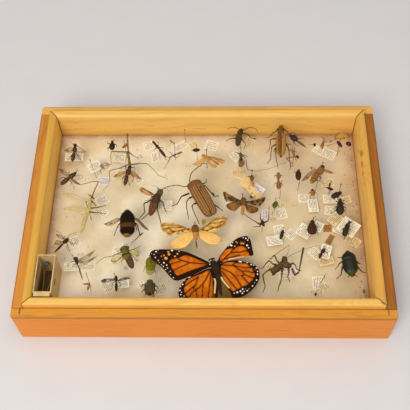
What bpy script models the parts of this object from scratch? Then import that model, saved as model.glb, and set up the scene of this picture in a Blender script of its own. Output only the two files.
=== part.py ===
"""Insect collection drawer: an open wooden tray lined with paper over foam, with pinned insects in it.

The frame has its origin under the middle of the tray, +X to the right, +Y to the back and +Z up.
Sizes below are in millimetres and are scaled to metres as the meshes are made.
"""

import math

import bmesh
import bpy
from mathutils import Matrix

MM = 0.001

# Driving dimensions of the tray
DRAWER_WIDTH = 330.2      # 13 inches
DRAWER_DEPTH = 228.6      # 9 inches
BOARD_HEIGHT = 43.0       # up to the ledge that a lid would sit on
BOARD_THICKNESS = 9.5
LINER_THICKNESS = 8.0
LINER_RISE = 6.5          # how far the liner stands above the ledge
PANEL_THICKNESS = 5.0
FOAM_THICKNESS = 12.0
PAPER_THICKNESS = 0.6
GAP = 0.3                 # clearance between neighbours that touch

# Driving dimensions of the pins and of the height that specimens are set at
PIN_RADIUS = 0.25
PIN_HEAD_RADIUS = 0.8
PIN_HOLE_RADIUS = 0.65
PIN_TIP = 9.0
PIN_TOP = 50.0
SPECIMEN_HEIGHT = 38.0
WING_THICKNESS = 0.4

# Driving dimensions of the little card box in the front left corner
CARD_WIDTH = 16.0
CARD_DEPTH = 40.0
CARD_HEIGHT = 30.0
CARD_WALL = 0.9
CARD_RIM = 3.4            # width of the front wall's folded rim

INNER_X = DRAWER_WIDTH / 2 - BOARD_THICKNESS - LINER_THICKNESS
INNER_Y = DRAWER_DEPTH / 2 - BOARD_THICKNESS - LINER_THICKNESS
LINER_TOP = BOARD_HEIGHT + LINER_RISE
FOAM_BOTTOM = PANEL_THICKNESS + GAP
PAPER_BOTTOM = FOAM_BOTTOM + FOAM_THICKNESS + GAP
PAPER_TOP = PAPER_BOTTOM + PAPER_THICKNESS


def new_collection(name):
    """A collection linked to the scene."""
    made = bpy.data.collections.new(name)
    bpy.context.scene.collection.children.link(made)
    return made


def new_material(name, colour, roughness, metallic=0.0):
    """A Principled material of one colour."""
    made = bpy.data.materials.new(name)
    made.use_nodes = True
    shader = made.node_tree.nodes["Principled BSDF"]
    shader.inputs["Base Color"].default_value = (*colour, 1.0)
    shader.inputs["Roughness"].default_value = roughness
    shader.inputs["Metallic"].default_value = metallic
    return made


def mesh_object(name, bm, material, collection):
    """An object in metres from a bmesh in millimetres."""
    bmesh.ops.scale(bm, vec=(MM, MM, MM), verts=bm.verts)
    mesh = bpy.data.meshes.new(name)
    bm.to_mesh(mesh)
    bm.free()
    made = bpy.data.objects.new(name, mesh)
    if material:
        mesh.materials.append(material)
    collection.objects.link(made)
    return made


def hidden(shape):
    """Mark a shape that only cuts or joins another one."""
    shape.hide_render = True
    shape.display_type = "WIRE"
    return shape


def boolean(target, shape, operation):
    """A live exact Boolean of shape on target."""
    step = target.modifiers.new(shape.name, "BOOLEAN")
    step.operation = operation
    step.solver = "EXACT"
    step.object = hidden(shape)


def box_bmesh(low, high):
    """A box between two corners."""
    size = [h - l for l, h in zip(low, high)]
    middle = [(h + l) / 2 for l, h in zip(low, high)]
    bm = bmesh.new()
    bmesh.ops.create_cube(bm, size=1.0, matrix=Matrix.Translation(middle) @ Matrix.Diagonal((*size, 1.0)))
    return bm


def bevel_edges(bm, wanted, radius, segments):
    """Round the edges whose two ends satisfy a test."""
    edges = [e for e in bm.edges if wanted(e.verts[0].co, e.verts[1].co)]
    bmesh.ops.bevel(bm, geom=edges, offset=radius, segments=segments, profile=0.5, affect="EDGES")


def is_upright(a, b):
    """True for an edge that runs along Z."""
    return abs(a.z - b.z) > 1.0 and abs(a.x - b.x) < 0.01 and abs(a.y - b.y) < 0.01


# ---------------------------------------------------------------- the wooden tray

def outer_board(name, low, high, outer_sign, material):
    """One side of the tray; a front or back board has its two outer corners rounded."""
    bm = box_bmesh(low, high)
    if outer_sign:
        outer = high[1] if outer_sign > 0 else low[1]
        bevel_edges(bm, lambda a, b: is_upright(a, b) and abs(a.y - outer) < 0.01, 3.0, 4)
    top = high[2]
    bevel_edges(bm, lambda a, b: min(a.z, b.z) > top - 0.01, 0.9, 2)
    return mesh_object(name, bm, material, parts)


def liner_strip(name, side, material):
    """An inner strip with mitred ends and a rounded top inner edge, turned to its side of the tray."""
    across = DRAWER_WIDTH if side in ("front", "back") else DRAWER_DEPTH
    along = DRAWER_DEPTH if side in ("front", "back") else DRAWER_WIDTH
    outer = along / 2 - BOARD_THICKNESS - GAP
    inner = outer - LINER_THICKNESS + GAP
    half = across / 2 - BOARD_THICKNESS - 2 * GAP
    bm = box_bmesh((-half, -outer, PANEL_THICKNESS + GAP), (half, -inner, LINER_TOP))
    for vert in bm.verts:
        if vert.co.y > -inner - 0.01:
            vert.co.x -= math.copysign(outer - inner, vert.co.x)
    bevel_edges(bm, lambda a, b: min(a.z, b.z) > LINER_TOP - 0.01 and min(a.y, b.y) > -inner - 0.01, 3.0, 3)
    bevel_edges(bm, lambda a, b: min(a.z, b.z) > LINER_TOP - 0.01 and max(a.y, b.y) < -outer + 0.01, 1.0, 2)
    turn = {"front": 0, "right": 90, "back": 180, "left": 270}[side]
    bmesh.ops.rotate(bm, verts=bm.verts, matrix=Matrix.Rotation(math.radians(turn), 3, "Z"))
    return mesh_object(name, bm, material, parts)


def build_tray(pins):
    """The boards, the liners, the bottom, and the foam and paper that the pins stand in."""
    half_x, half_y = DRAWER_WIDTH / 2, DRAWER_DEPTH / 2
    in_x, in_y = half_x - BOARD_THICKNESS, half_y - BOARD_THICKNESS
    front_pine = new_material("front_pine", (0.72, 0.36, 0.17), 0.45)
    side_pine = new_material("side_pine", (0.62, 0.30, 0.10), 0.45)
    liner_pine = new_material("liner_pine", (0.80, 0.50, 0.20), 0.40)
    panel_wood = new_material("bottom_plywood", (0.60, 0.42, 0.24), 0.60)
    outer_board("front_board", (-half_x, -half_y, 0), (half_x, -in_y, BOARD_HEIGHT), -1, front_pine)
    outer_board("back_board", (-half_x, in_y, 0), (half_x, half_y, BOARD_HEIGHT), 1, front_pine)
    reach = in_y - GAP
    outer_board("left_board", (-half_x, -reach, 0), (-in_x, reach, BOARD_HEIGHT), 0, side_pine)
    outer_board("right_board", (in_x, -reach, 0), (half_x, reach, BOARD_HEIGHT), 0, side_pine)
    for side in ("front", "back", "left", "right"):
        liner_strip(side + "_liner", side, liner_pine)

    panel = box_bmesh((-in_x + GAP, -in_y + GAP, 0), (in_x - GAP, in_y - GAP, PANEL_THICKNESS))
    mesh_object("bottom_panel", panel, panel_wood, parts)
    sheet_x, sheet_y = INNER_X - GAP, INNER_Y - GAP
    foam = mesh_object(
        "pinning_foam",
        box_bmesh((-sheet_x, -sheet_y, FOAM_BOTTOM), (sheet_x, sheet_y, FOAM_BOTTOM + FOAM_THICKNESS)),
        new_material("foam", (0.85, 0.83, 0.78), 0.90),
        parts,
    )
    paper = mesh_object(
        "lining_paper",
        box_bmesh((-sheet_x, -sheet_y, PAPER_BOTTOM), (sheet_x, sheet_y, PAPER_TOP)),
        new_material("paper", (0.78, 0.70, 0.56), 0.85),
        parts,
    )
    holes = bmesh.new()
    for x, y in pins:
        add_pin_prism(holes, x, y, PIN_TIP - GAP, PAPER_TOP + 2.0)
    cutter = mesh_object("pin_holes", holes, None, cutters)
    boolean(foam, cutter, "DIFFERENCE")
    boolean(paper, cutter, "DIFFERENCE")


def build_card_box():
    """A folded card box, open at the top, standing in the front left corner; its front rim is folded out."""
    left = -INNER_X + 2 * GAP
    front = -INNER_Y + 2 * GAP + CARD_RIM
    low = (left, front, PAPER_TOP + GAP)
    high = (left + CARD_WIDTH, front + CARD_DEPTH - CARD_RIM, PAPER_TOP + GAP + CARD_HEIGHT)
    card = new_material("card", (0.80, 0.66, 0.42), 0.70)
    shell = mesh_object("card_box", box_bmesh(low, high), card, parts)
    rim_low = (left + 1.0, front - CARD_RIM, high[2] - CARD_WALL)
    rim = box_bmesh(rim_low, (high[0] - 1.0, front + CARD_WALL, high[2]))
    boolean(shell, mesh_object("card_rim", rim, None, cutters), "UNION")
    inside = box_bmesh([v + CARD_WALL for v in low], (high[0] - CARD_WALL, high[1] - CARD_WALL, high[2] + 5.0))
    boolean(shell, mesh_object("card_inside", inside, None, cutters), "DIFFERENCE")


# ---------------------------------------------------------------- pins

def add_pin_prism(bm, x, y, low, high):
    """A six-sided hole cutter round a pin's axis."""
    bmesh.ops.create_cone(
        bm, cap_ends=True, segments=6, radius1=PIN_HOLE_RADIUS, radius2=PIN_HOLE_RADIUS, depth=high - low,
        matrix=Matrix.Translation((x, y, (low + high) / 2)),
    )


def build_pin(name, x, y, steel):
    """A steel insect pin: a turned profile from its round head down to its point."""
    profile = [
        (0.0, PIN_TOP),
        (PIN_HEAD_RADIUS * 0.75, PIN_TOP - 0.35),
        (PIN_HEAD_RADIUS, PIN_TOP - 0.8),
        (PIN_RADIUS, PIN_TOP - 1.4),
        (PIN_RADIUS, PIN_TIP + 1.5),
        (0.0, PIN_TIP),
    ]
    mesh = bpy.data.meshes.new(name)
    points = [(r * MM, 0.0, z * MM) for r, z in profile]
    mesh.from_pydata(points, [(i, i + 1) for i in range(len(points) - 1)], [])
    mesh.materials.append(steel)
    pin = bpy.data.objects.new(name, mesh)
    pin.location = (x * MM, y * MM, 0.0)
    parts.objects.link(pin)
    screw = pin.modifiers.new("turned", "SCREW")
    screw.steps = 6
    screw.render_steps = 6
    screw.use_merge_vertices = True
    screw.merge_threshold = 0.00001


# ---------------------------------------------------------------- insects

def lobe(name, x, y, length, width, height, turn=0.0, rise=0.0, segments=8, rings=6):
    """An egg-shaped part of a body, its length turned from +X, its middle at specimen height plus rise."""
    bm = bmesh.new()
    place = Matrix.Translation((x, y, SPECIMEN_HEIGHT + rise)) @ Matrix.Rotation(math.radians(turn), 4, "Z")
    lay = Matrix.Rotation(math.radians(90), 4, "Y")
    size = Matrix.Diagonal((length / 2, width / 2, height / 2, 1.0))
    bmesh.ops.create_uvsphere(bm, u_segments=segments, v_segments=rings, radius=1.0, matrix=place @ size @ lay)
    return mesh_object(name, bm, None, cutters)


def wing(name, outline, rise):
    """A flat wing: a smooth closed outline filled and given the thickness of a wing."""
    curve = bpy.data.curves.new(name, "CURVE")
    curve.dimensions = "2D"
    curve.fill_mode = "BOTH"
    curve.extrude = WING_THICKNESS / 2 * MM
    curve.resolution_u = 2
    spline = curve.splines.new("BEZIER")
    spline.use_cyclic_u = True
    spline.bezier_points.add(len(outline) - 1)
    for point, (x, y) in zip(spline.bezier_points, outline):
        point.co = (x * MM, y * MM, 0.0)
        point.handle_left_type = "AUTO"
        point.handle_right_type = "AUTO"
    source = bpy.data.objects.new(name + "_outline", curve)
    source.location = (0.0, 0.0, (SPECIMEN_HEIGHT + rise) * MM)
    cutters.objects.link(source)
    bpy.context.view_layer.update()
    evaluated = source.evaluated_get(bpy.context.evaluated_depsgraph_get())
    mesh = bpy.data.meshes.new_from_object(evaluated)
    bm = bmesh.new()
    bm.from_mesh(mesh)
    bmesh.ops.remove_doubles(bm, verts=bm.verts, dist=0.000001)
    bmesh.ops.recalc_face_normals(bm, faces=bm.faces)
    bm.to_mesh(mesh)
    bm.free()
    made = bpy.data.objects.new(name, mesh)
    made.matrix_world = source.matrix_world
    cutters.objects.link(made)
    bpy.data.objects.remove(source)
    return made


def insect(name, colour, lobes, pin, wings=(), roughness=0.5):
    """One dried insect: its lobes and wings joined in one body, with its pin's hole through it."""
    shapes = [lobe(f"{name}_lobe_{i}", **spec) for i, spec in enumerate(lobes)]
    shapes += [wing(f"{name}_wing_{i}", outline, rise) for i, (rise, outline) in enumerate(wings)]
    body = shapes[0]
    body.name = name
    cutters.objects.unlink(body)
    parts.objects.link(body)
    body.data.materials.append(new_material(name, colour, roughness))
    for shape in shapes[1:]:
        boolean(body, shape, "UNION")
    hole = bmesh.new()
    add_pin_prism(hole, pin[0], pin[1], PAPER_TOP + 4.0, PIN_TOP + 6.0)
    boolean(body, mesh_object(name + "_pin_hole", hole, None, cutters), "DIFFERENCE")
    body["pin"] = pin


def egg(x, y, length, width, height, turn=0.0, rise=0.0):
    """The sizes of one lobe, by name."""
    return {"x": x, "y": y, "length": length, "width": width, "height": height, "turn": turn, "rise": rise}


def build_butterfly_and_moths():
    """The spread butterfly and the four moths, each with its wings as they lie."""
    insect(
        "monarch_butterfly", (0.80, 0.33, 0.05),
        [egg(10, -63, 15, 6.5, 6, 112), egg(13.5, -77, 26, 4.2, 4.2, 104), egg(7.5, -56.5, 5, 5, 4.5, 112)],
        pin=(9.5, -62),
        wings=[
            (0.9, [(9, -58), (-15, -49), (-33, -45), (-47, -47.5), (-48, -52), (-40, -59), (-32, -68),
                   (-26, -75.5), (-19, -76), (-7, -70), (9, -64)]),
            (0.3, [(10, -62), (-11, -71), (-19, -77), (-22, -86), (-19, -94), (-5, -95.5), (8, -94),
                   (11, -86), (11, -74)]),
            (0.9, [(10, -60), (19, -46), (27, -37), (36, -32.5), (41.5, -35), (44, -43), (44, -51),
                   (34, -52.5), (20, -57), (11, -62)]),
            (0.3, [(10, -61), (30, -56.5), (42, -58), (48.5, -64), (49, -71), (45, -80), (37, -87),
                   (25, -93), (16, -92), (13, -76)]),
        ],
    )
    insect(
        "yellow_moth", (0.82, 0.52, 0.15),
        [egg(-8.5, -24, 9, 5, 5, 95), egg(-7, -35, 20, 3.6, 4, 97)],
        pin=(-8.5, -24),
        wings=[
            (0.6, [(-8, -22.5), (-15, -21.5), (-27, -17.5), (-40, -18.5), (-40, -23), (-34, -29.5),
                   (-20, -28.5), (-8, -27)]),
            (0.6, [(-9, -23), (-4, -22), (8, -16), (21, -12), (22.5, -18), (16, -26), (7, -29.5), (-8, -28)]),
            (0.1, [(-8, -26), (-14, -30), (-26, -34), (-31, -39), (-26, -43.5), (-16, -42), (-8.5, -34)]),
            (0.1, [(-8, -27), (-3, -29), (16, -33), (12, -39), (3, -40.5), (-3, -37), (-7, -33)]),
        ],
    )
    insect(
        "brown_moth", (0.35, 0.22, 0.10),
        [egg(35, 6, 9, 4.5, 4.5, 90), egg(35, -2.5, 13, 3.4, 3.6, 90)],
        pin=(35, 6.5),
        wings=[
            (0.6, [(35, 8), (26, 12.5), (18, 16), (17, 9), (22, 5), (29, 3.5), (35, 4.5)]),
            (0.6, [(35, 8), (45, 8), (55, 10.5), (55, 6), (51, 1), (43, 2.5), (35, 4)]),
            (0.1, [(35, 5), (27, 3.8), (20, 2), (22, -2), (27, -5.5), (32, -2), (35, 0)]),
            (0.1, [(35, 5), (42, 2.8), (49, -1), (48, -4), (43, -7), (39, -4.5), (35, 0)]),
        ],
    )
    insect(
        "cream_moth", (0.86, 0.76, 0.55),
        [egg(44.3, 32, 8, 4, 4.2, 100), egg(45, 26, 9, 3.2, 3.4, 100)],
        pin=(44.2, 33),
        wings=[
            (0.6, [(44, 33), (35, 35.5), (26.5, 38), (24.5, 34), (28, 28.5), (36, 27), (44, 29)]),
            (0.1, [(44, 30), (36, 27.5), (29.5, 25), (33, 19), (39, 16.5), (44, 22)]),
            (0.6, [(45, 31), (50, 25), (56, 17), (54, 13.5), (48, 14), (45, 20), (44, 27)]),
        ],
    )
    insect(
        "amber_moth", (0.62, 0.38, 0.15),
        [egg(-1, 58, 8, 3.6, 4, -30), egg(6, 54, 10, 3.2, 3.4, -30)],
        pin=(1, 57),
        wings=[
            (0.6, [(-3, 60), (6, 56), (14, 52.5), (19.5, 49.5), (18, 46), (14.5, 44.5), (6, 50), (0, 54.5)]),
            (0.1, [(2, 56.5), (7, 53), (13, 45), (10, 41.5), (5, 43.5), (0, 50), (-1, 56)]),
        ],
    )


def build_beetles_and_bugs():
    """The beetles and the true bugs."""
    insect(
        "broad_brown_beetle", (0.36, 0.19, 0.07),
        [egg(-1.8, 7, 37, 17, 9, 119), egg(-10, 21.5, 6, 12, 7, 119), egg(3.5, -2, 20, 15.5, 6.5, 119)],
        pin=(-4, 14.5),
    )
    insect(
        "golden_longhorn_beetle", (0.45, 0.24, 0.05),
        [egg(72.7, 69.5, 27, 10, 6, 91), egg(73, 84, 8, 7.6, 5.5, 90), egg(73, 88, 5, 5, 4.4, 90)],
        pin=(74.8, 76),
    )
    insect(
        "grey_longhorn_beetle", (0.17, 0.15, 0.11),
        [egg(33, 77, 17, 5.6, 4.6, 76), egg(35.4, 86, 6, 4.6, 4, 76)],
        pin=(34, 80.5),
    )
    insect(
        "green_scarab_beetle", (0.03, 0.06, 0.03),
        [egg(129.6, -59.5, 20, 13, 8, 93), egg(129, -51.5, 7.5, 9, 6, 93)],
        pin=(132, -57),
        roughness=0.25,
    )
    insect(
        "dark_green_beetle", (0.06, 0.08, 0.03),
        [egg(-47.6, -84.5, 13.5, 9.4, 5.5, 90), egg(-47.6, -79, 6, 6.5, 4.4, 90)],
        pin=(-45.6, -82.5),
    )
    insect(
        "green_stink_bug", (0.22, 0.21, 0.03),
        [egg(-47.3, -59.8, 15.5, 9.4, 4.4, 92, rise=-4.0)],
        pin=(-47.5, -57.5),
    )
    insect(
        "brown_shield_bug", (0.16, 0.06, 0.03),
        [egg(98, -22, 13, 8.6, 4.6, 90)],
        pin=(98.5, -19),
    )
    insect(
        "black_ground_beetle", (0.03, 0.03, 0.03),
        [egg(125.7, -3, 12, 7.6, 5, 90), egg(125.7, 4, 6, 5.2, 4, 90)],
        pin=(127, -0.5),
        roughness=0.3,
    )
    insect(
        "black_click_beetle", (0.03, 0.03, 0.03),
        [egg(128.8, -26, 13, 4.8, 4.4, 62), egg(132.4, -19.5, 5, 3.8, 3.6, 62)],
        pin=(129.8, -23.5),
        roughness=0.35,
    )
    insect(
        "black_leaf_beetle", (0.03, 0.02, 0.02),
        [egg(124.3, 15.7, 12.5, 5.4, 4.8, 32)],
        pin=(126, 17.2),
        roughness=0.3,
    )


def build_other_insects():
    """The bees, the wasp, the crickets, the cicada, the mantis and the stick insect."""
    insect(
        "bumblebee", (0.12, 0.08, 0.03),
        [egg(-71.3, -12, 11, 9, 8, 93), egg(-71, -23, 15, 9, 8, 93), egg(-71.8, -6.2, 4.4, 5.4, 4.6, 93)],
        pin=(-70.8, -10.5),
        wings=[
            (1.6, [(-73, -11), (-79, -14), (-88, -19), (-92, -23.5), (-86, -23.5), (-79, -19), (-73, -14)]),
            (1.6, [(-69, -11), (-63, -14), (-55, -19), (-51, -24.5), (-56, -24.5), (-63, -19), (-69, -14)]),
        ],
    )
    insect(
        "brown_bee", (0.40, 0.20, 0.06),
        [egg(110.5, 40.5, 8, 6.4, 5.6, 55), egg(103.5, 31.5, 14, 6.2, 5.4, 52), egg(114, 45, 4, 5, 4, 55)],
        pin=(111, 41.5),
        wings=[
            (1.2, [(110, 41.5), (103, 37.5), (93.5, 30.5), (92, 27.5), (98, 29), (105, 33), (111, 38)]),
            (1.2, [(110, 42), (116, 41.5), (121, 38.5), (120, 35.5), (115, 36.5), (110, 38.5)]),
        ],
    )
    insect(
        "amber_winged_wasp", (0.08, 0.05, 0.03),
        [egg(-75, 36, 7, 4.2, 4, 80), egg(-76.4, 28.5, 10, 3.4, 3.4, 80), egg(-74.2, 40.4, 3, 3.6, 3, 80)],
        pin=(-75, 36.5),
        wings=[
            (0.8, [(-75, 37.5), (-81, 37.5), (-88, 36), (-87, 33.5), (-81, 33.8), (-75, 35)]),
            (0.8, [(-75, 37.5), (-68, 36.5), (-61.5, 32.5), (-62, 30), (-68, 31.5), (-75, 35)]),
        ],
    )
    insect(
        "dark_cricket", (0.10, 0.05, 0.03),
        [egg(-43, 13, 9.5, 6.6, 5.6, 66), egg(-47, 2.5, 18, 6.2, 5.4, 66), egg(-40.8, 17.4, 4, 5.6, 4.6, 66)],
        pin=(-43.5, 12),
        wings=[(1.0, [(-44, 11.5), (-50, 14.5), (-61.5, 19.5), (-60, 15.5), (-53, 11), (-45, 8.5)])],
    )
    insect(
        "spiny_bush_cricket", (0.20, 0.11, 0.04),
        [egg(70.5, -58, 14, 8.6, 8, 60, rise=1.0), egg(65, -65.5, 18, 5.6, 5.6, 50), egg(75, -60.5, 9, 5, 5, 20)],
        pin=(69.5, -58.5),
    )
    insect(
        "green_cicada", (0.24, 0.20, 0.03),
        [egg(-70, -49, 13, 9.4, 7, 110), egg(-66, -58.5, 15, 5.4, 5, 115), egg(-71.4, -44.5, 4.6, 7, 5, 110)],
        pin=(-69, -49.5),
    )
    insect(
        "pale_mantis", (0.62, 0.52, 0.22),
        [egg(-108.6, 0, 13, 3.4, 3.6, 75), egg(-111.4, -15, 22, 4.2, 4, 82), egg(-106.9, 6.6, 3.6, 4.4, 3.2, 75)],
        pin=(-109, -2),
        wings=[(0.7, [(-109, 0), (-118, 5.5), (-131, 11), (-136, 14.5), (-134, 10), (-122, 2), (-110, -5)])],
    )
    insect(
        "stick_insect", (0.22, 0.17, 0.06),
        [egg(-76.4, 67, 34, 2.8, 2.8, 97), egg(-74.4, 51.5, 11, 3.6, 3.4, 97)],
        pin=(-74.6, 52.5),
    )


# ---------------------------------------------------------------- assembly

for old in list(bpy.data.objects):
    bpy.data.objects.remove(old)

parts = new_collection("insect_collection_drawer")
cutters = new_collection("cutters")

build_butterfly_and_moths()
build_beetles_and_bugs()
build_other_insects()

pinned = [made for made in parts.objects if "pin" in made]
pin_steel = new_material("pin_steel", (0.45, 0.42, 0.36), 0.35, 1.0)
for specimen in pinned:
    build_pin(specimen.name + "_pin", *specimen["pin"], pin_steel)

build_tray([tuple(specimen["pin"]) for specimen in pinned])
build_card_box()
bpy.context.view_layer.update()
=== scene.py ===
"""Looks of an insect collection drawer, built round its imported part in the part's own frame.

The sections follow the making of the drawer: the wooden tray, the foam and paper in it, the card
box, the pins, then the insects, from the butterfly down to the smallest fly, with their paper
labels, and last the crumbs, the studio and the camera. Lengths are in millimetres until a mesh
is made, and colours are given as they look, from 0 to 255.
"""

import math

import bpy
import numpy as np
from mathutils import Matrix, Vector


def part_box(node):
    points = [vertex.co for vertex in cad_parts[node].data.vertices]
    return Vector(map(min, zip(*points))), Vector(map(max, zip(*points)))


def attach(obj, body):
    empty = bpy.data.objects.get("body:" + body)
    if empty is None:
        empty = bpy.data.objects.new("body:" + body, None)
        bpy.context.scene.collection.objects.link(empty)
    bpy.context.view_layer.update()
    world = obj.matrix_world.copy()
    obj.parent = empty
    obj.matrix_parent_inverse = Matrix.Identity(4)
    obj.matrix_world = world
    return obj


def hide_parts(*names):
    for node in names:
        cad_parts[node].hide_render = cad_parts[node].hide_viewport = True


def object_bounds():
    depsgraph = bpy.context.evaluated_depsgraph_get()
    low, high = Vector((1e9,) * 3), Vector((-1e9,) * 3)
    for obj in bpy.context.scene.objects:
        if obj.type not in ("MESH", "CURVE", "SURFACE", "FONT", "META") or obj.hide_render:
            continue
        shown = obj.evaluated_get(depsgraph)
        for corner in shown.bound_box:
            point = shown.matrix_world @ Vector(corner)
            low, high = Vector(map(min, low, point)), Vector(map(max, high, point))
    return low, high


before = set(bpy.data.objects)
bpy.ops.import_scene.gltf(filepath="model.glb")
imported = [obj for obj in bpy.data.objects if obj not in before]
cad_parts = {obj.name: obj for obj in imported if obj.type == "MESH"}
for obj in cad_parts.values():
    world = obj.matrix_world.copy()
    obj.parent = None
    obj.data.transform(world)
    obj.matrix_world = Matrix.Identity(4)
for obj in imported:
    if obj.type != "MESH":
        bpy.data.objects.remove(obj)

cad_size = [list(corner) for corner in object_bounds()]

# ---------------------------------------------------------------- the outer boards
# Four planed pine boards, glued at the corners and varnished to a warm orange. The front face has
# the pinkest wood; the ledges that a lid would rest on are yellower and darkened by handling, with
# painted shade along their outer edge.


class Sock:
    """A shader socket that can be written into sums: each operator adds its Math node."""

    def __init__(self, finish, socket):
        self.finish = finish
        self.socket = socket

    def maths(self, operation, other=0.0, turned=False):
        """One Math node, with the other value first if turned."""
        pair = (other, self) if turned else (self, other)
        return self.finish.node("ShaderNodeMath", {0: pair[0], 1: pair[1]}, operation=operation)

    def __add__(self, other):
        return self.maths("ADD", other)

    def __sub__(self, other):
        return self.maths("SUBTRACT", other)

    def __rsub__(self, other):
        return self.maths("SUBTRACT", other, True)

    def __mul__(self, other):
        return self.maths("MULTIPLY", other)

    def __truediv__(self, other):
        return self.maths("DIVIDE", other)

    def __rtruediv__(self, other):
        return self.maths("DIVIDE", other, True)

    def __pow__(self, other):
        return self.maths("POWER", other)

    __radd__ = __add__
    __rmul__ = __mul__

    def size(self):
        """Its distance from 0."""
        return self.maths("ABSOLUTE")

    def within(self, low, high):
        """Rises smoothly from 0 at low to 1 at high; falls if low is above high."""
        if low > high:
            return 1.0 - self.within(high, low)
        inputs = {"Value": self, "From Min": low, "From Max": high}
        return self.finish.node("ShaderNodeMapRange", inputs, interpolation_type="SMOOTHSTEP")


def tint(red, green, blue):
    """A colour from 0 to 255 as it looks, made linear for the shader."""
    part = np.array((red, green, blue)) / 255.0
    return tuple(np.where(part > 0.04045, ((part + 0.055) / 1.055) ** 2.4, part / 12.92))


class Finish:
    """A procedural material; fixed settings of its shader are given by name."""

    def __init__(self, name, **fixed):
        self.material = bpy.data.materials.new(name)
        self.material.use_nodes = True
        self.tree = self.material.node_tree
        self.shader = self.tree.nodes["Principled BSDF"]
        for words, value in fixed.items():
            self.feed(self.shader.inputs[words.replace("_", " ")], value)

    def feed(self, socket, value):
        """Links a socket, or sets its constant."""
        if isinstance(value, Sock):
            self.tree.links.new(value.socket, socket)
        elif socket.type == "RGBA":
            socket.default_value = (*value, 1.0)
        else:
            socket.default_value = value

    def node(self, kind, inputs=None, out=0, **settings):
        """Any node: its settings first, then the values or links of its sockets."""
        made = self.tree.nodes.new(kind)
        for key, value in settings.items():
            setattr(made, key, value)
        for key, value in (inputs or {}).items():
            self.feed(made.inputs[key], value)
        return Sock(self, made.outputs[out])

    def place(self, stretch=1.0, turn=0.0, move=(0.0, 0.0, 0.0)):
        """Object coordinates in millimetres, turned about Z and divided by the stretch along each axis."""
        scale = tuple(1000.0 / np.broadcast_to(stretch, 3))
        raw = self.node("ShaderNodeTexCoord", out="Object")
        if turn:
            turned = {"Vector": raw, "Rotation": (0.0, 0.0, math.radians(turn))}
            raw = self.node("ShaderNodeMapping", turned)
        return self.node("ShaderNodeMapping", {"Vector": raw, "Scale": scale, "Location": move})

    def noise(self, where, size=1.0, detail=2.0, rough=0.5):
        """Cloudy noise from 0 to 1, its lumps about size across."""
        inputs = {"Vector": where, "Scale": 1.0 / size, "Detail": detail, "Roughness": rough}
        return self.node("ShaderNodeTexNoise", inputs)

    def cells(self, where, size=1.0):
        """Distance to the nearest of scattered points, cells about size across."""
        return self.node("ShaderNodeTexVoronoi", {"Vector": where, "Scale": 1.0 / size})

    def axes(self, vector):
        """The three parts of a vector."""
        cut = self.node("ShaderNodeSeparateXYZ", {0: vector}).socket.node
        return [Sock(self, out) for out in cut.outputs]

    def join(self, x, y, z):
        """A vector from its three parts."""
        return self.node("ShaderNodeCombineXYZ", {0: x, 1: y, 2: z})

    def measure(self, name):
        """A number kept at every point of the mesh."""
        return self.node("ShaderNodeAttribute", out="Fac", attribute_name=name)

    def blend(self, share, first, second):
        """Colours: first where share is 0, second where it is 1."""
        inputs = {0: share, 6: first, 7: second}
        return self.node("ShaderNodeMix", inputs, out=2, data_type="RGBA")

    def dress(self, colour, roughness=None, height=None, depth=0.1, strength=1.0, **more):
        """Joins the pattern to the shader; height is a relief of that depth in millimetres."""
        self.feed(self.shader.inputs["Base Color"], colour)
        if roughness is not None:
            self.feed(self.shader.inputs["Roughness"], roughness)
        if height is not None:
            inputs = {"Height": height, "Distance": depth / 1000.0, "Strength": strength}
            self.feed(self.shader.inputs["Normal"], self.node("ShaderNodeBump", inputs))
        for words, value in more.items():
            self.feed(self.shader.inputs[words.replace("_", " ")], value)
        return self


LEDGE_TOP = 42.0
STRIP_TOP = 47.0
MITRE = (cad_size[1][0] - cad_size[1][1]) * 1000


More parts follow.
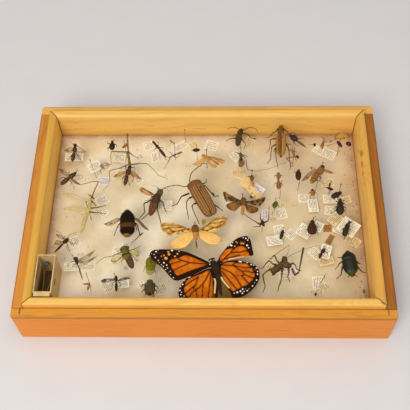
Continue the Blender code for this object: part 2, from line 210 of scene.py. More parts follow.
def pine(
    name, early, late, turn=0.0, *, heart, ring, seed, bold=0.6, knots=(), dirt=0.25, shine=0.38,
    ledge=None, mitred=False, marks_and_shadows=(),
):
    """Varnished pine. The yearly rings are circles round a heart line that runs along the board; their
    radius is bent by slow noise and pushed out round each knot, and a saw wave of it gives pale early
    wood that darkens to a thin late line. Fine streaks, short pores and handling dirt lie over it. A
    ledge has its own colour on top and painted shade along its outer edge; a mitred strip has dark
    joints and painted shade at its foot. Given boxes are painted dark: saw kerfs, and painted shadows."""
    wood = Finish(name, Coat_Roughness=0.25, Coat_IOR=1.45, Specular_IOR_Level=0.25)
    g, a, b = wood.axes(wood.place(turn=turn))
    deep = tuple(c * 0.34 for c in late)
    dull = tuple(c * 0.55 for c in late)
    wander = wood.noise(wood.place((120, 22, 22), turn, (seed, 0, 0)), detail=3.0)
    ripple = wood.noise(wood.place((34, 6, 6), turn, (seed, 3, 0)), detail=2.0)
    radius = ((a - heart[0]) ** 2.0 + (b - heart[1]) ** 2.0) ** 0.5 + wander * 17.0 + ripple * 2.2
    core = 0.0
    for knot_g, knot_a, knot_b, reach, push, size in knots:
        far = (((g - knot_g) / 1.7) ** 2.0 + (a - knot_a) ** 2.0 + (b - knot_b) ** 2.0) ** 0.5
        radius = radius + (far / (-reach)).maths("EXPONENT") * push
        core = far.within(size * 1.6, size * 0.6) + core
    wave = (radius / ring).maths("FRACT")
    line = wave.within(0.30, 0.90) * wave.within(1.0, 0.93)
    streak = wood.noise(wood.place((26, 0.9, 0.9), turn, (seed, 0, 5)), detail=4.0, rough=0.62)
    pores = wood.noise(wood.place((9, 0.30, 0.30), turn, (seed, 9, 0)), detail=2.0).within(0.66, 0.74)
    blotch = wood.noise(wood.place((70, 24, 24), turn, (0, seed, 0)), detail=3.0)
    share = line * (0.3 + 0.7 * blotch.within(0.3, 0.7)) * bold + (streak - 0.4) * 0.7
    if ledge:
        level = STRIP_TOP if mitred else LEDGE_TOP
        top = b.within(level, level + 0.8)
        early = wood.blend(top, early, ledge)
        late = wood.blend(top, late, tuple(c * 0.6 for c in ledge))
    colour = wood.blend(share.maths("MAXIMUM", 0.0).maths("MINIMUM", 1.0), early, late)
    colour = wood.blend(pores * 0.4, colour, deep)
    grime = wood.noise(wood.place((55, 16, 16), turn, (seed, 1, 2)), detail=5.0, rough=0.6)
    colour = wood.blend(grime.within(0.52, 0.78) * dirt, colour, dull)
    if knots:
        colour = wood.blend(core.maths("MINIMUM", 1.0) * 0.9, colour, dull)
    # Painted shade along the ledge's outer edge, where it rounds away from the light.
    if ledge and not mitred:
        rim = cad_size[1][0 if turn else 1] * 1000
        outer_edge_shade = a.size().within(rim - 1.7, rim - 0.4) * b.within(LEDGE_TOP - 1.4, LEDGE_TOP + 0.4)
        colour = wood.blend(outer_edge_shade * 0.55, colour, deep)
    # Dark joints at the mitres, and painted shade at the strip's foot where it meets the paper.
    if mitred:
        joint = ((g.size() - a.size()) * (-1.0 if turn else 1.0) - MITRE).size().within(0.9, 0.35)
        colour = wood.blend(joint.maths("MAXIMUM", b.within(25.0, 17.5) * 0.5) * 0.8, colour, deep)
    # Each given box is painted dark: saw kerfs, and painted shadows on the back liner.
    for middle, reach in marks_and_shadows:
        mark = 0.7
        for axis, centre, half in zip((g, a, b), middle, reach):
            mark = (axis - centre).size().within(half + 0.3, half - 0.3) * mark
        colour = wood.blend(mark, colour, deep)
    gloss = shine + blotch * 0.16 + pores * 0.12
    relief = streak * 0.35 + line * 0.25 - pores * 0.8
    return wood.dress(colour, gloss, relief, 0.06, 0.55, Coat_Weight=0.06 + blotch * 0.12)


def wear(node, finish):
    """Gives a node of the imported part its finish."""
    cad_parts[node].data.materials.clear()
    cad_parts[node].data.materials.append(finish.material)


KERFS = (((-157.2, -107.4, 43), (0.8, 3.4, 2)), ((157.4, -107.2, 43), (0.6, 3.6, 2)))
front_pine = pine(
    "front_pine", tint(232, 142, 34), tint(198, 98, 10), heart=(-150, -22), ring=2.0, bold=0.5,
    seed=3.1, dirt=0.15, ledge=tint(212, 146, 46), marks_and_shadows=KERFS,
)
wear("front_board", front_pine)
back_pine = pine(
    "back_pine", tint(236, 160, 76), tint(190, 110, 38), heart=(60, -30), ring=3.4, bold=0.35, seed=8.7,
    ledge=tint(230, 174, 80),
)
wear("back_board", back_pine)
left_pine = pine(
    "left_pine", tint(222, 144, 50), tint(168, 88, 20), 90.0, heart=(120, -60), ring=5.0, bold=0.35,
    seed=12.3, dirt=0.5, ledge=tint(206, 138, 50),
)
wear("left_board", left_pine)
right_pine = pine(
    "right_pine", tint(184, 114, 36), tint(128, 62, 12), 90.0, heart=(-196, 20), ring=3.6, bold=0.6,
    seed=21.4, dirt=0.6, ledge=tint(168, 102, 18),
)
wear("right_board", right_pine)
panel_birch = pine(
    "panel_birch", tint(214, 176, 124), tint(176, 130, 78), heart=(0, -90), ring=7.0, seed=30.2,
    shine=0.6,
)
wear("bottom_panel", panel_birch)

# ---------------------------------------------------------------- the liners
# Thinner strips of the same pine, mitred and glued inside the boards, their upper inner edge
# rounded with a plane. Knots show in the right one, and slanting rings at the end of the front one.
# The thin dark streaks on the back one are painted shadows, the faces of the side ones are lifted
# as painted light, and all are painted darker at the foot as shade.

# Painted shadows on the inner face of the back liner, as x, height and half length.
WALL_SHADOWS = ((-128, 29, 6), (-6, 29, 6), (130, 27, 6), (-130, 39, 3), (-56, 34, 4), (56, 35, 4), (103, 40, 3))
streaks = [((x, 97, z), (half, 2, 0.25)) for x, z, half in WALL_SHADOWS]
honey, amber = tint(236, 188, 98), tint(204, 134, 48)
front_liner_pine = pine(
    "front_liner_pine", honey, amber, heart=(-60, -20), ring=3.0, bold=0.4, seed=5.5, dirt=0.12,
    mitred=True,
    knots=((158, -92, 40, 16, 60, 1), (153.6, -101.6, 49, 3, 6, 1.7)),
)
wear("front_liner", front_liner_pine)
back_liner_pine = pine(
    "back_liner_pine", tint(242, 196, 104), tint(212, 142, 54), heart=(150, 10), ring=4.6, bold=0.3,
    seed=17.9, dirt=0.3, mitred=True, ledge=honey, marks_and_shadows=streaks,
)
wear("back_liner", back_liner_pine)
# Its face tints are lifted above the other liners' as painted light on a wall the lamps leave in shade; its
# top keeps a darker ledge colour.
left_liner_pine_lit = pine(
    "left_liner_pine_lit", tint(250, 202, 96), tint(214, 150, 56), 90.0, heart=(150, -30), ring=4.6,
    bold=0.3, seed=2.2, mitred=True, ledge=tint(216, 164, 66),
)
wear("left_liner", left_liner_pine_lit)
right_knots = (
    (-53, 149, 47, 4, 24, 2.2), (-41, 149, 46, 4, 20, 2.2), (-61, 148, 40, 3, 12, 1.3),
    (-31, 149, 46, 3, 12, 1.8),
)
# Its face tints are lifted above the other liners' as painted light on a wall the lamps leave in shade; its
# top keeps a darker ledge colour.
right_liner_pine_lit = pine(
    "right_liner_pine_lit", tint(252, 204, 112), tint(206, 136, 52), 90.0, heart=(-190, 30), ring=4.4,
    bold=0.45, seed=41.0, dirt=0.35, mitred=True, ledge=tint(220, 166, 74), knots=right_knots,
)
wear("right_liner", right_liner_pine_lit)

# ---------------------------------------------------------------- foam and lining paper
# A sheet of polyethylene foam that grips the pins, and cream paper glued over it. The paper is
# painted darker as shade along the walls and towards the right and back, and in patches under the
# cicada as painted shadow; old pin pricks, stains and dust show all over it.

foam = Finish("pinning_foam", Roughness=0.9)
bubbles = foam.cells(foam.place(), 0.9)
foam.dress(foam.blend(bubbles, tint(236, 232, 222), tint(208, 202, 190)), None, bubbles, 0.2)
wear("pinning_foam", foam)

# Round patches as x, y, reach and strength: stains, except the three by the green cicada, near x -73 to
# -62, which are painted shadow under it.
STAINS_AND_SHADOWS = (
    (-72.5, -54.1, 3.2, 0.55), (-62.4, -45.8, 2.6, 0.5), (-119.4, 15.3, 1.2, 0.5), (-132.8, 0.1, 1.2, 0.5),
    (18.8, 82.6, 1, 0.6), (20.7, 44.7, 1, 0.6), (57.9, 41.2, 1, 0.6), (137.1, 33.6, 0.9, 0.7),
    (80.4, -64.2, 0.9, 0.7), (-70.9, -43.7, 5, 0.25), (142.7, 66.0, 7, 0.2), (-133.6, -48.1, 9, 0.16),
    (135.5, 2.6, 9, 0.15),
)
paper = Finish("lining_paper", Roughness=0.86, Specular_IOR_Level=0.25)
sheet_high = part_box("lining_paper")[1]
px, py = paper.axes(paper.place())[:2]
to_side = (sheet_high.x * 1000) - px.size()
to_end = (sheet_high.y * 1000) - py.size()
fibre = paper.noise(paper.place(1.2), detail=6.0, rough=0.65)
cloud = paper.noise(paper.place(46), detail=4.0, rough=0.6)
mottle = paper.noise(paper.place(9, 0, (4, 2, 0)), detail=5.0, rough=0.65)
paper_colour = paper.blend(cloud.within(0.34, 0.68), tint(242, 230, 205), tint(217, 198, 158))
# Painted shade: the paper darkens towards the right and back, away from the light.
paper_colour = paper.blend((px + py * 0.6).within(10.0, 170.0) * 0.55, paper_colour, tint(184, 144, 90))
paper_colour = paper.blend(mottle.within(0.45, 0.75) * 0.3, paper_colour, tint(216, 194, 150))
# Painted shade along the walls, where they meet the paper.
to_wall = to_side.maths("MINIMUM", to_end) + (mottle - 0.5) * 12.0
wall_shade = to_wall.within(18.0, 0.0) * 0.4 + to_wall.within(6.0, -1.0) * 0.4
paper_colour = paper.blend(wall_shade, paper_colour, tint(156, 104, 48))
pricks = paper.cells(paper.place(1, 0, (7, 3, 0)), 7.5)
pricked = paper.noise(paper.place(11, 0, (1, 8, 0)), detail=1.0).within(0.52, 0.58)
paper_colour = paper.blend(pricks.within(0.055, 0.03) * pricked * 0.75, paper_colour, tint(84, 62, 40))
# Stains, and painted shadow under the cicada.
for patch_x, patch_y, reach, depth in STAINS_AND_SHADOWS:
    far = ((px - patch_x) ** 2.0 + (py - patch_y) ** 2.0) ** 0.5 + (mottle - 0.5) * reach
    paper_colour = paper.blend(far.within(reach, reach * 0.2) * depth, paper_colour, tint(120, 84, 44))
dust = paper.noise(paper.place(0.8, 0, (2, 2, 0)), detail=3.0, rough=0.7).within(0.68, 0.76)
paper_colour = paper.blend(dust * 0.4, paper_colour, tint(120, 92, 58))
paper_colour = paper.blend(fibre * 0.25, paper_colour, tint(238, 226, 200))
paper.dress(paper_colour, None, fibre + mottle * 2.0 - pricks.within(0.06, 0.03) * pricked * 3.0, 0.12, 0.7)
wear("lining_paper", paper)

# ---------------------------------------------------------------- the card box
# An open box folded from thin tan card, its front edge turned out as a lip. It stands in the
# corner with odd scraps in it; the card is soft at the corners and darker inside, more so deeper down.

card = Finish("tan_card", Roughness=0.78, Specular_IOR_Level=0.3)
card_x, card_y, card_z = card.axes(card.place())
card_fibre = card.noise(card.place((0.7, 0.7, 2.2)), detail=5.0, rough=0.65)
card_cloud = card.noise(card.place((8, 8, 12), 0, (3, 1, 6)), detail=4.0)
card_colour = card.blend(card_fibre, tint(226, 200, 146), tint(200, 168, 112))
card_colour = card.blend(card_cloud.within(0.45, 0.75) * 0.45, card_colour, tint(168, 126, 72))
card_low, card_high = (corner * 1000 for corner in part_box("card_box"))
LIP = 3.4
card_middle = (card_low + card_high) / 2
card_half = (card_high - card_low) / 2
off_side = (card_x - card_middle.x).size() - card_half.x
off_end = (card_y - card_middle.y - LIP / 2).size() - card_half.y + LIP / 2
# The inner faces are darker, more so deeper down.
inward = off_side.within(-0.8, -1.6) * off_end.within(-0.8, -1.6)
deep_down = (card_z / card_high.z).within(1.03, 0.72)
card_colour = card.blend(inward * deep_down * 0.92, card_colour, tint(74, 48, 20))
slit = (card_y + 78.5).size().within(3.6, 2.8) * (card_z - 39.5).size().within(2.2, 1.4)
slit = slit * card_x.within(-131.5, -131.1)
card_colour = card.blend(slit * 0.85, card_colour, tint(60, 38, 16))
card.dress(card_colour, None, card_fibre, 0.08, 0.6)
wear("card_box", card)


class Piece:
    """Closed surfaces in millimetres gathered into one mesh, each with a finish and named measures.
    All across measures are taken from the piece's own spot x, y; heights are from the table."""

    def __init__(self, x=0.0, y=0.0):
        self.spot = np.array([x, y, 0.0])
        self.points, self.faces, self.slots, self.finishes, self.measures = [], [], [], [], []
        self.count = 0

    def solid(self, points, faces, finish, **measures):
        """Adds loose faces; their winding is turned where their signed volume comes out negative."""
        corners = points[np.array([face[:3] for face in faces])]
        middle = points.mean(0)
        square = np.cross(corners[:, 1] - middle, corners[:, 2] - middle)
        volume = np.einsum("ij,ij->", corners[:, 0] - middle, square)
        if volume < 0:
            faces = [face[::-1] for face in faces]
        if finish not in self.finishes:
            self.finishes.append(finish)
        self.points.append(points)
        self.faces += [[corner + self.count for corner in face] for face in faces]
        self.slots += [self.finishes.index(finish)] * len(faces)
        self.measures.append((len(points), measures))
        self.count += len(points)

    def rings(self, rings, finish, **measures):
        """A grid of rings, sides and x, y, z. Each ring closes on itself, and a fan closes each end."""
        n, m = rings.shape[:2]
        points = np.vstack([rings.reshape(-1, 3), rings[0].mean(0), rings[-1].mean(0)])
        here = np.arange(m)
        after = (here + 1) % m
        row = np.arange(n - 1)[:, None] * m
        quads = np.stack([row + here, row + after, row + after + m, row + here + m], -1).reshape(-1, 4)
        low = np.stack([after, here, here * 0 + n * m], -1)
        last = (n - 1) * m
        high = np.stack([last + here, last + after, here * 0 + n * m + 1], -1)
        spread = {}
        for name, values in measures.items():
            grid = np.broadcast_to(np.asarray(values, float), (n, m))
            spread[name] = np.concatenate([grid.ravel(), [grid[0].mean(), grid[-1].mean()]])
        self.solid(points, quads.tolist() + low.tolist() + high.tolist(), finish, **spread)

    def make(self, name, *nodes, slot=None):
        """The finished mesh in metres: smooth, riding on the drawer, and standing for the nodes."""
        mesh = bpy.data.meshes.new(name)
        mesh.from_pydata(((np.vstack(self.points) + self.spot) / 1000.0).tolist(), [], self.faces)
        mesh.polygons.foreach_set("material_index", self.slots)
        mesh.polygons.foreach_set("use_smooth", [True] * len(self.faces))
        for finish in self.finishes:
            mesh.materials.append(finish.material)
        for measure in sorted({key for count, found in self.measures for key in found}):
            values = [found.get(measure, np.zeros(count)) for count, found in self.measures]
            mesh.attributes.new(measure, "FLOAT", "POINT").data.foreach_set("value", np.concatenate(values))
        mesh.update()
        mesh.set_sharp_from_angle(angle=math.radians(75))
        made = bpy.data.objects.new(name, mesh)
        bpy.context.scene.collection.objects.link(made)
        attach(made, "root")
        if nodes:
            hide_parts(*nodes)
        return made


def smooth_line(points, count):
    """Catmull-Rom curve: each run is the cubic between two points whose slopes join their neighbours."""
    p = np.asarray(points, float)
    p = np.vstack([2 * p[0] - p[1], p, 2 * p[-1] - p[-2]])
    t = np.linspace(0, len(points) - 1, count)
    i = np.minimum(t.astype(int), len(points) - 2)
    f = (t - i)[:, None]
    a, b, c, d = p[i], p[i + 1], p[i + 2], p[i + 3]
    return 0.5 * (2 * b + (c - a) * f + (2 * a - 5 * b + 4 * c - d) * f**2 + (3 * b - a - 3 * c + d) * f**3)


def unit(vectors):
    """Vectors of length one along those given."""
    return vectors / np.maximum(np.linalg.norm(vectors, axis=-1, keepdims=True), 1e-9)


def round_turn(sides):
    """The angles of the sides, once round from below."""
    return np.linspace(-np.pi / 2, 1.5 * np.pi, sides, endpoint=False)


def tube(path, width, height=None, sides=6, up=None):
    """Rings square to a path, each an ellipse of that half width, and that half height along up."""
    path = np.asarray(path, float)
    forward = unit(np.gradient(path, axis=0))
    if up is None:
        up = np.linalg.svd(path - path.mean(0))[2][2]
    side = unit(np.cross(forward, up))
    top = np.cross(side, forward)
    turn = round_turn(sides)
    width = np.broadcast_to(width, len(path))[:, None, None]
    height = width if height is None else np.broadcast_to(height, len(path))[:, None, None]
    across = side[:, None] * width * np.cos(turn)[:, None]
    return path[:, None] + across + top[:, None] * height * np.sin(turn)[:, None]


scraps = Piece()
steps = np.linspace(0, 1, 9)[:, None]
flap_top = np.hstack([(1 - steps) * (-146.0, -94.0) + steps * (-144.4, -62.0), 47.4 - steps * 1.5])
flap_sag = 43.0 - 14.0 * np.sin(np.pi * steps) - 6 * steps
flap_low = np.hstack([(1 - steps) * (-145.6, -94.5) + steps * (-144.0, -62.5), flap_sag])
around = np.linspace(0, 2 * np.pi, 14, endpoint=False)
across = (1 - np.cos(around)) / 2
flap = flap_top[:, None] * (1 - across)[:, None] + flap_low[:, None] * across[:, None]
flap[..., 0] += 0.25 * np.sin(around)
scraps.rings(flap, card)
teal = Finish("teal_scrap", Roughness=0.5)
teal.dress(teal.blend(teal.noise(teal.place(1), 0.8), tint(70, 110, 92), tint(36, 62, 50)))
teal_line = smooth_line([(-141.6, -57.6, 34), (-141.0, -59.4, 37), (-140.2, -61.6, 36)], 12)
scraps.rings(tube(teal_line, 1.9 * np.sin(np.linspace(0.25, 2.9, 12)), sides=10), teal)
straw = Finish("straw_scrap", Roughness=0.7)
straw.dress(straw.blend(straw.noise(straw.place((1, 1, 6))), tint(214, 188, 130), tint(158, 120, 68)))
straw_line = smooth_line([(-145, -80, 22), (-141, -83, 27), (-136, -81, 24), (-133, -77, 22)], 16)
scraps.rings(tube(straw_line, 0.6, sides=7), straw)
thin_straw = smooth_line([(-144, -88, 20), (-139, -74, 24), (-134, -62, 30)], 12)
scraps.rings(tube(thin_straw, 0.35, sides=6), straw)
scraps.make("card_box_scraps", slot="card")

# ---------------------------------------------------------------- the pins
# Steel insect pins with a small pressed head, dulled and brown where the insects have marked them.
# Those of the small insects are turned here, thinner ones, with their insects.

steel = Finish("pin_steel", Metallic=0.9)
tarnish = steel.noise(steel.place((1.5, 1.5, 5)), detail=4.0)
steel_colour = steel.blend(tarnish.within(0.35, 0.65), tint(120, 112, 98), tint(66, 52, 36))
steel.dress(steel_colour, 0.3 + tarnish * 0.35)
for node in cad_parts:
    if node.endswith("_pin"):
        wear(node, steel)

paper_top = sheet_high.z * 1000
THIN_PIN = 0.2


def add_pin(piece, foot, head_height, lean=(0.0, 0.0)):
    """A thin pin from inside the foam to its head; lean is how far the head stands to the side."""
    up_to_neck = [10.0, 11.5, 30.0]
    height = np.array(up_to_neck + [head_height - below for below in (1.4, 0.8, 0.3, 0.0)])
    share = (height - paper_top) / (head_height - paper_top)
    path = np.column_stack([foot[0] + lean[0] * share, foot[1] + lean[1] * share, height])
    girth = np.array([0.1, 1.0, 1.0, 1.0, 2.9, 2.4, 0.8]) * THIN_PIN
    piece.rings(tube(path, girth, sides=8, up=(0.1, 1.0, 0.0)), steel)

# ---------------------------------------------------------------- the monarch butterfly
# Spread flat on its pin with both hindwings reaching to the front wall. The wings are thin lenses
# crossed by raised veins; the scales make orange fields in black, with white and amber spots.


def pairs(flat):
    """x, y in turn as rows."""
    return np.reshape(flat, (-1, 2))


def nearest(points, lines):
    """Distance from each point to the closest run of any of the lines, seen from above."""
    best = np.full(points.shape[:-1], 1e9)
    for line in lines:
        line = smooth_line(pairs(line), 2 * np.size(line))
        start, run = line[:-1], np.diff(line, axis=0)
        away = points[..., None, :2] - start
        share = np.clip((away * run).sum(-1) / (run**2).sum(-1), 0, 1)
        gap = np.linalg.norm(away - run * share[..., None], axis=-1).min(-1)
        best = np.minimum(best, gap)
    return best


def inside(points, outline):
    """Signed distance to a closed outline: positive inside it, by the crossings of a ray along X."""
    start = pairs(outline)
    end = np.roll(start, -1, axis=0)
    x, y = points[..., None, 0], points[..., None, 1]
    spans = (start[:, 1] > y) != (end[:, 1] > y)
    rise = np.where(end[:, 1] == start[:, 1], 1e-9, end[:, 1] - start[:, 1])
    crossing = start[:, 0] + (y - start[:, 1]) * (end[:, 0] - start[:, 0]) / rise
    odd = (spans & (x < crossing)).sum(-1) % 2
    run = end - start
    away = points[..., None, :2] - start
    share = np.clip((away * run).sum(-1) / np.maximum((run**2).sum(-1), 1e-9), 0, 1)
    gap = np.linalg.norm(away - run * share[..., None], axis=-1).min(-1)
    return np.where(odd == 1, gap, -gap)


def dotted(points, dots):
    """How far each point is inside the nearest round spot (x, y, radius); negative outside them all."""
    best = np.full(points.shape[:-1], -9.0)
    for x, y, radius in np.reshape(dots, (-1, 3)):
        best = np.maximum(best, radius - np.hypot(points[..., 0] - x, points[..., 1] - y))
    return best


def wing_rings(lead, trail, root, tip, size, thick, camber):
    """A lens that crosses from the leading to the trailing line at each step outwards: the share of the
    way across is (1 - cos) / 2 and the half thickness is sin. It rises from height root to tip and
    bulges upwards by camber in the middle, more by the root of the way out."""
    n, m = size
    lead, trail = smooth_line(pairs(lead), n), smooth_line(pairs(trail), n)
    angle = np.linspace(0, 2 * np.pi, m, endpoint=False)
    across = ((1 - np.cos(angle)) / 2)[None, :, None]
    out = np.linspace(0, 1, n)[:, None]
    flat = lead[:, None] * (1 - across) + trail[:, None] * across
    height = root + (tip - root) * out + camber * 4 * across[..., 0] * (1 - across[..., 0]) * np.sqrt(out)
    height = (height + thick * np.sin(angle))[..., None]
    return np.concatenate([flat, height], -1), out + 0 * angle, across[..., 0] + 0 * out


scales = Finish("monarch_scales", Roughness=0.8, Specular_IOR_Level=0.06, Sheen_Weight=0.03)
scale_rows = scales.noise(scales.place((0.22, 0.22, 1)), detail=3.0, rough=0.7)
scale_cloud = scales.noise(scales.place(5), detail=4.0)
to_vein = scales.measure("to_vein")
in_field = scales.measure("in_field")
orange = scales.blend(scale_cloud.within(0.3, 0.7), tint(214, 118, 18), tint(176, 82, 6))
orange = scales.blend(to_vein.within(1.8, 0.3) * 0.55, orange, tint(128, 50, 4))
orange = scales.blend(in_field.within(1.6, 0.0) * 0.5, orange, tint(120, 44, 4))
orange = scales.blend(scale_rows.within(0.4, 0.8) * 0.2, orange, tint(228, 134, 40))
black = scales.blend(scale_rows, tint(22, 10, 4), tint(50, 24, 8))
edge = (scale_cloud - 0.5) * 0.9 + (scale_rows - 0.5) * 0.5
shown = (in_field + edge).within(-0.25, 0.30) * (to_vein + edge * 0.3).within(0.26, 0.62)
pattern = scales.blend(shown, black, orange)
glowing = (scales.measure("in_glow") + edge * 0.5).within(-0.2, 0.35)
pattern = scales.blend(glowing * 0.92, pattern, tint(236, 160, 72))
folded = scales.measure("in_fold").within(-0.5, 0.6)
pattern = scales.blend(folded * 0.85, pattern, tint(112, 86, 34))
paled = scales.measure("to_pale").within(0.95, 0.35)
pattern = scales.blend(paled * 0.9, pattern, tint(238, 208, 142))
white = (scales.measure("in_white") + edge * 0.2).within(-0.22, 0.18)
pattern = scales.blend(white, pattern, tint(244, 232, 216))
scales.dress(pattern, None, scale_rows + to_vein.within(0.4, 0.0) * 1.5, 0.05, 0.6)

butterfly_fur = Finish("butterfly_fur", Roughness=0.9, Specular_IOR_Level=0.1, Sheen_Weight=0.05)
fur_noise = butterfly_fur.noise(butterfly_fur.place(0.5), detail=4.0)
fur_colour = butterfly_fur.blend(fur_noise, tint(24, 16, 8), tint(64, 44, 24))
butterfly_fur.dress(fur_colour, None, fur_noise, 0.15)
white_fur = Finish("white_fur", Roughness=0.8)
white_noise = white_fur.noise(white_fur.place(0.3))
white_fur.dress(white_fur.blend(white_noise, tint(236, 226, 210), tint(190, 176, 156)))

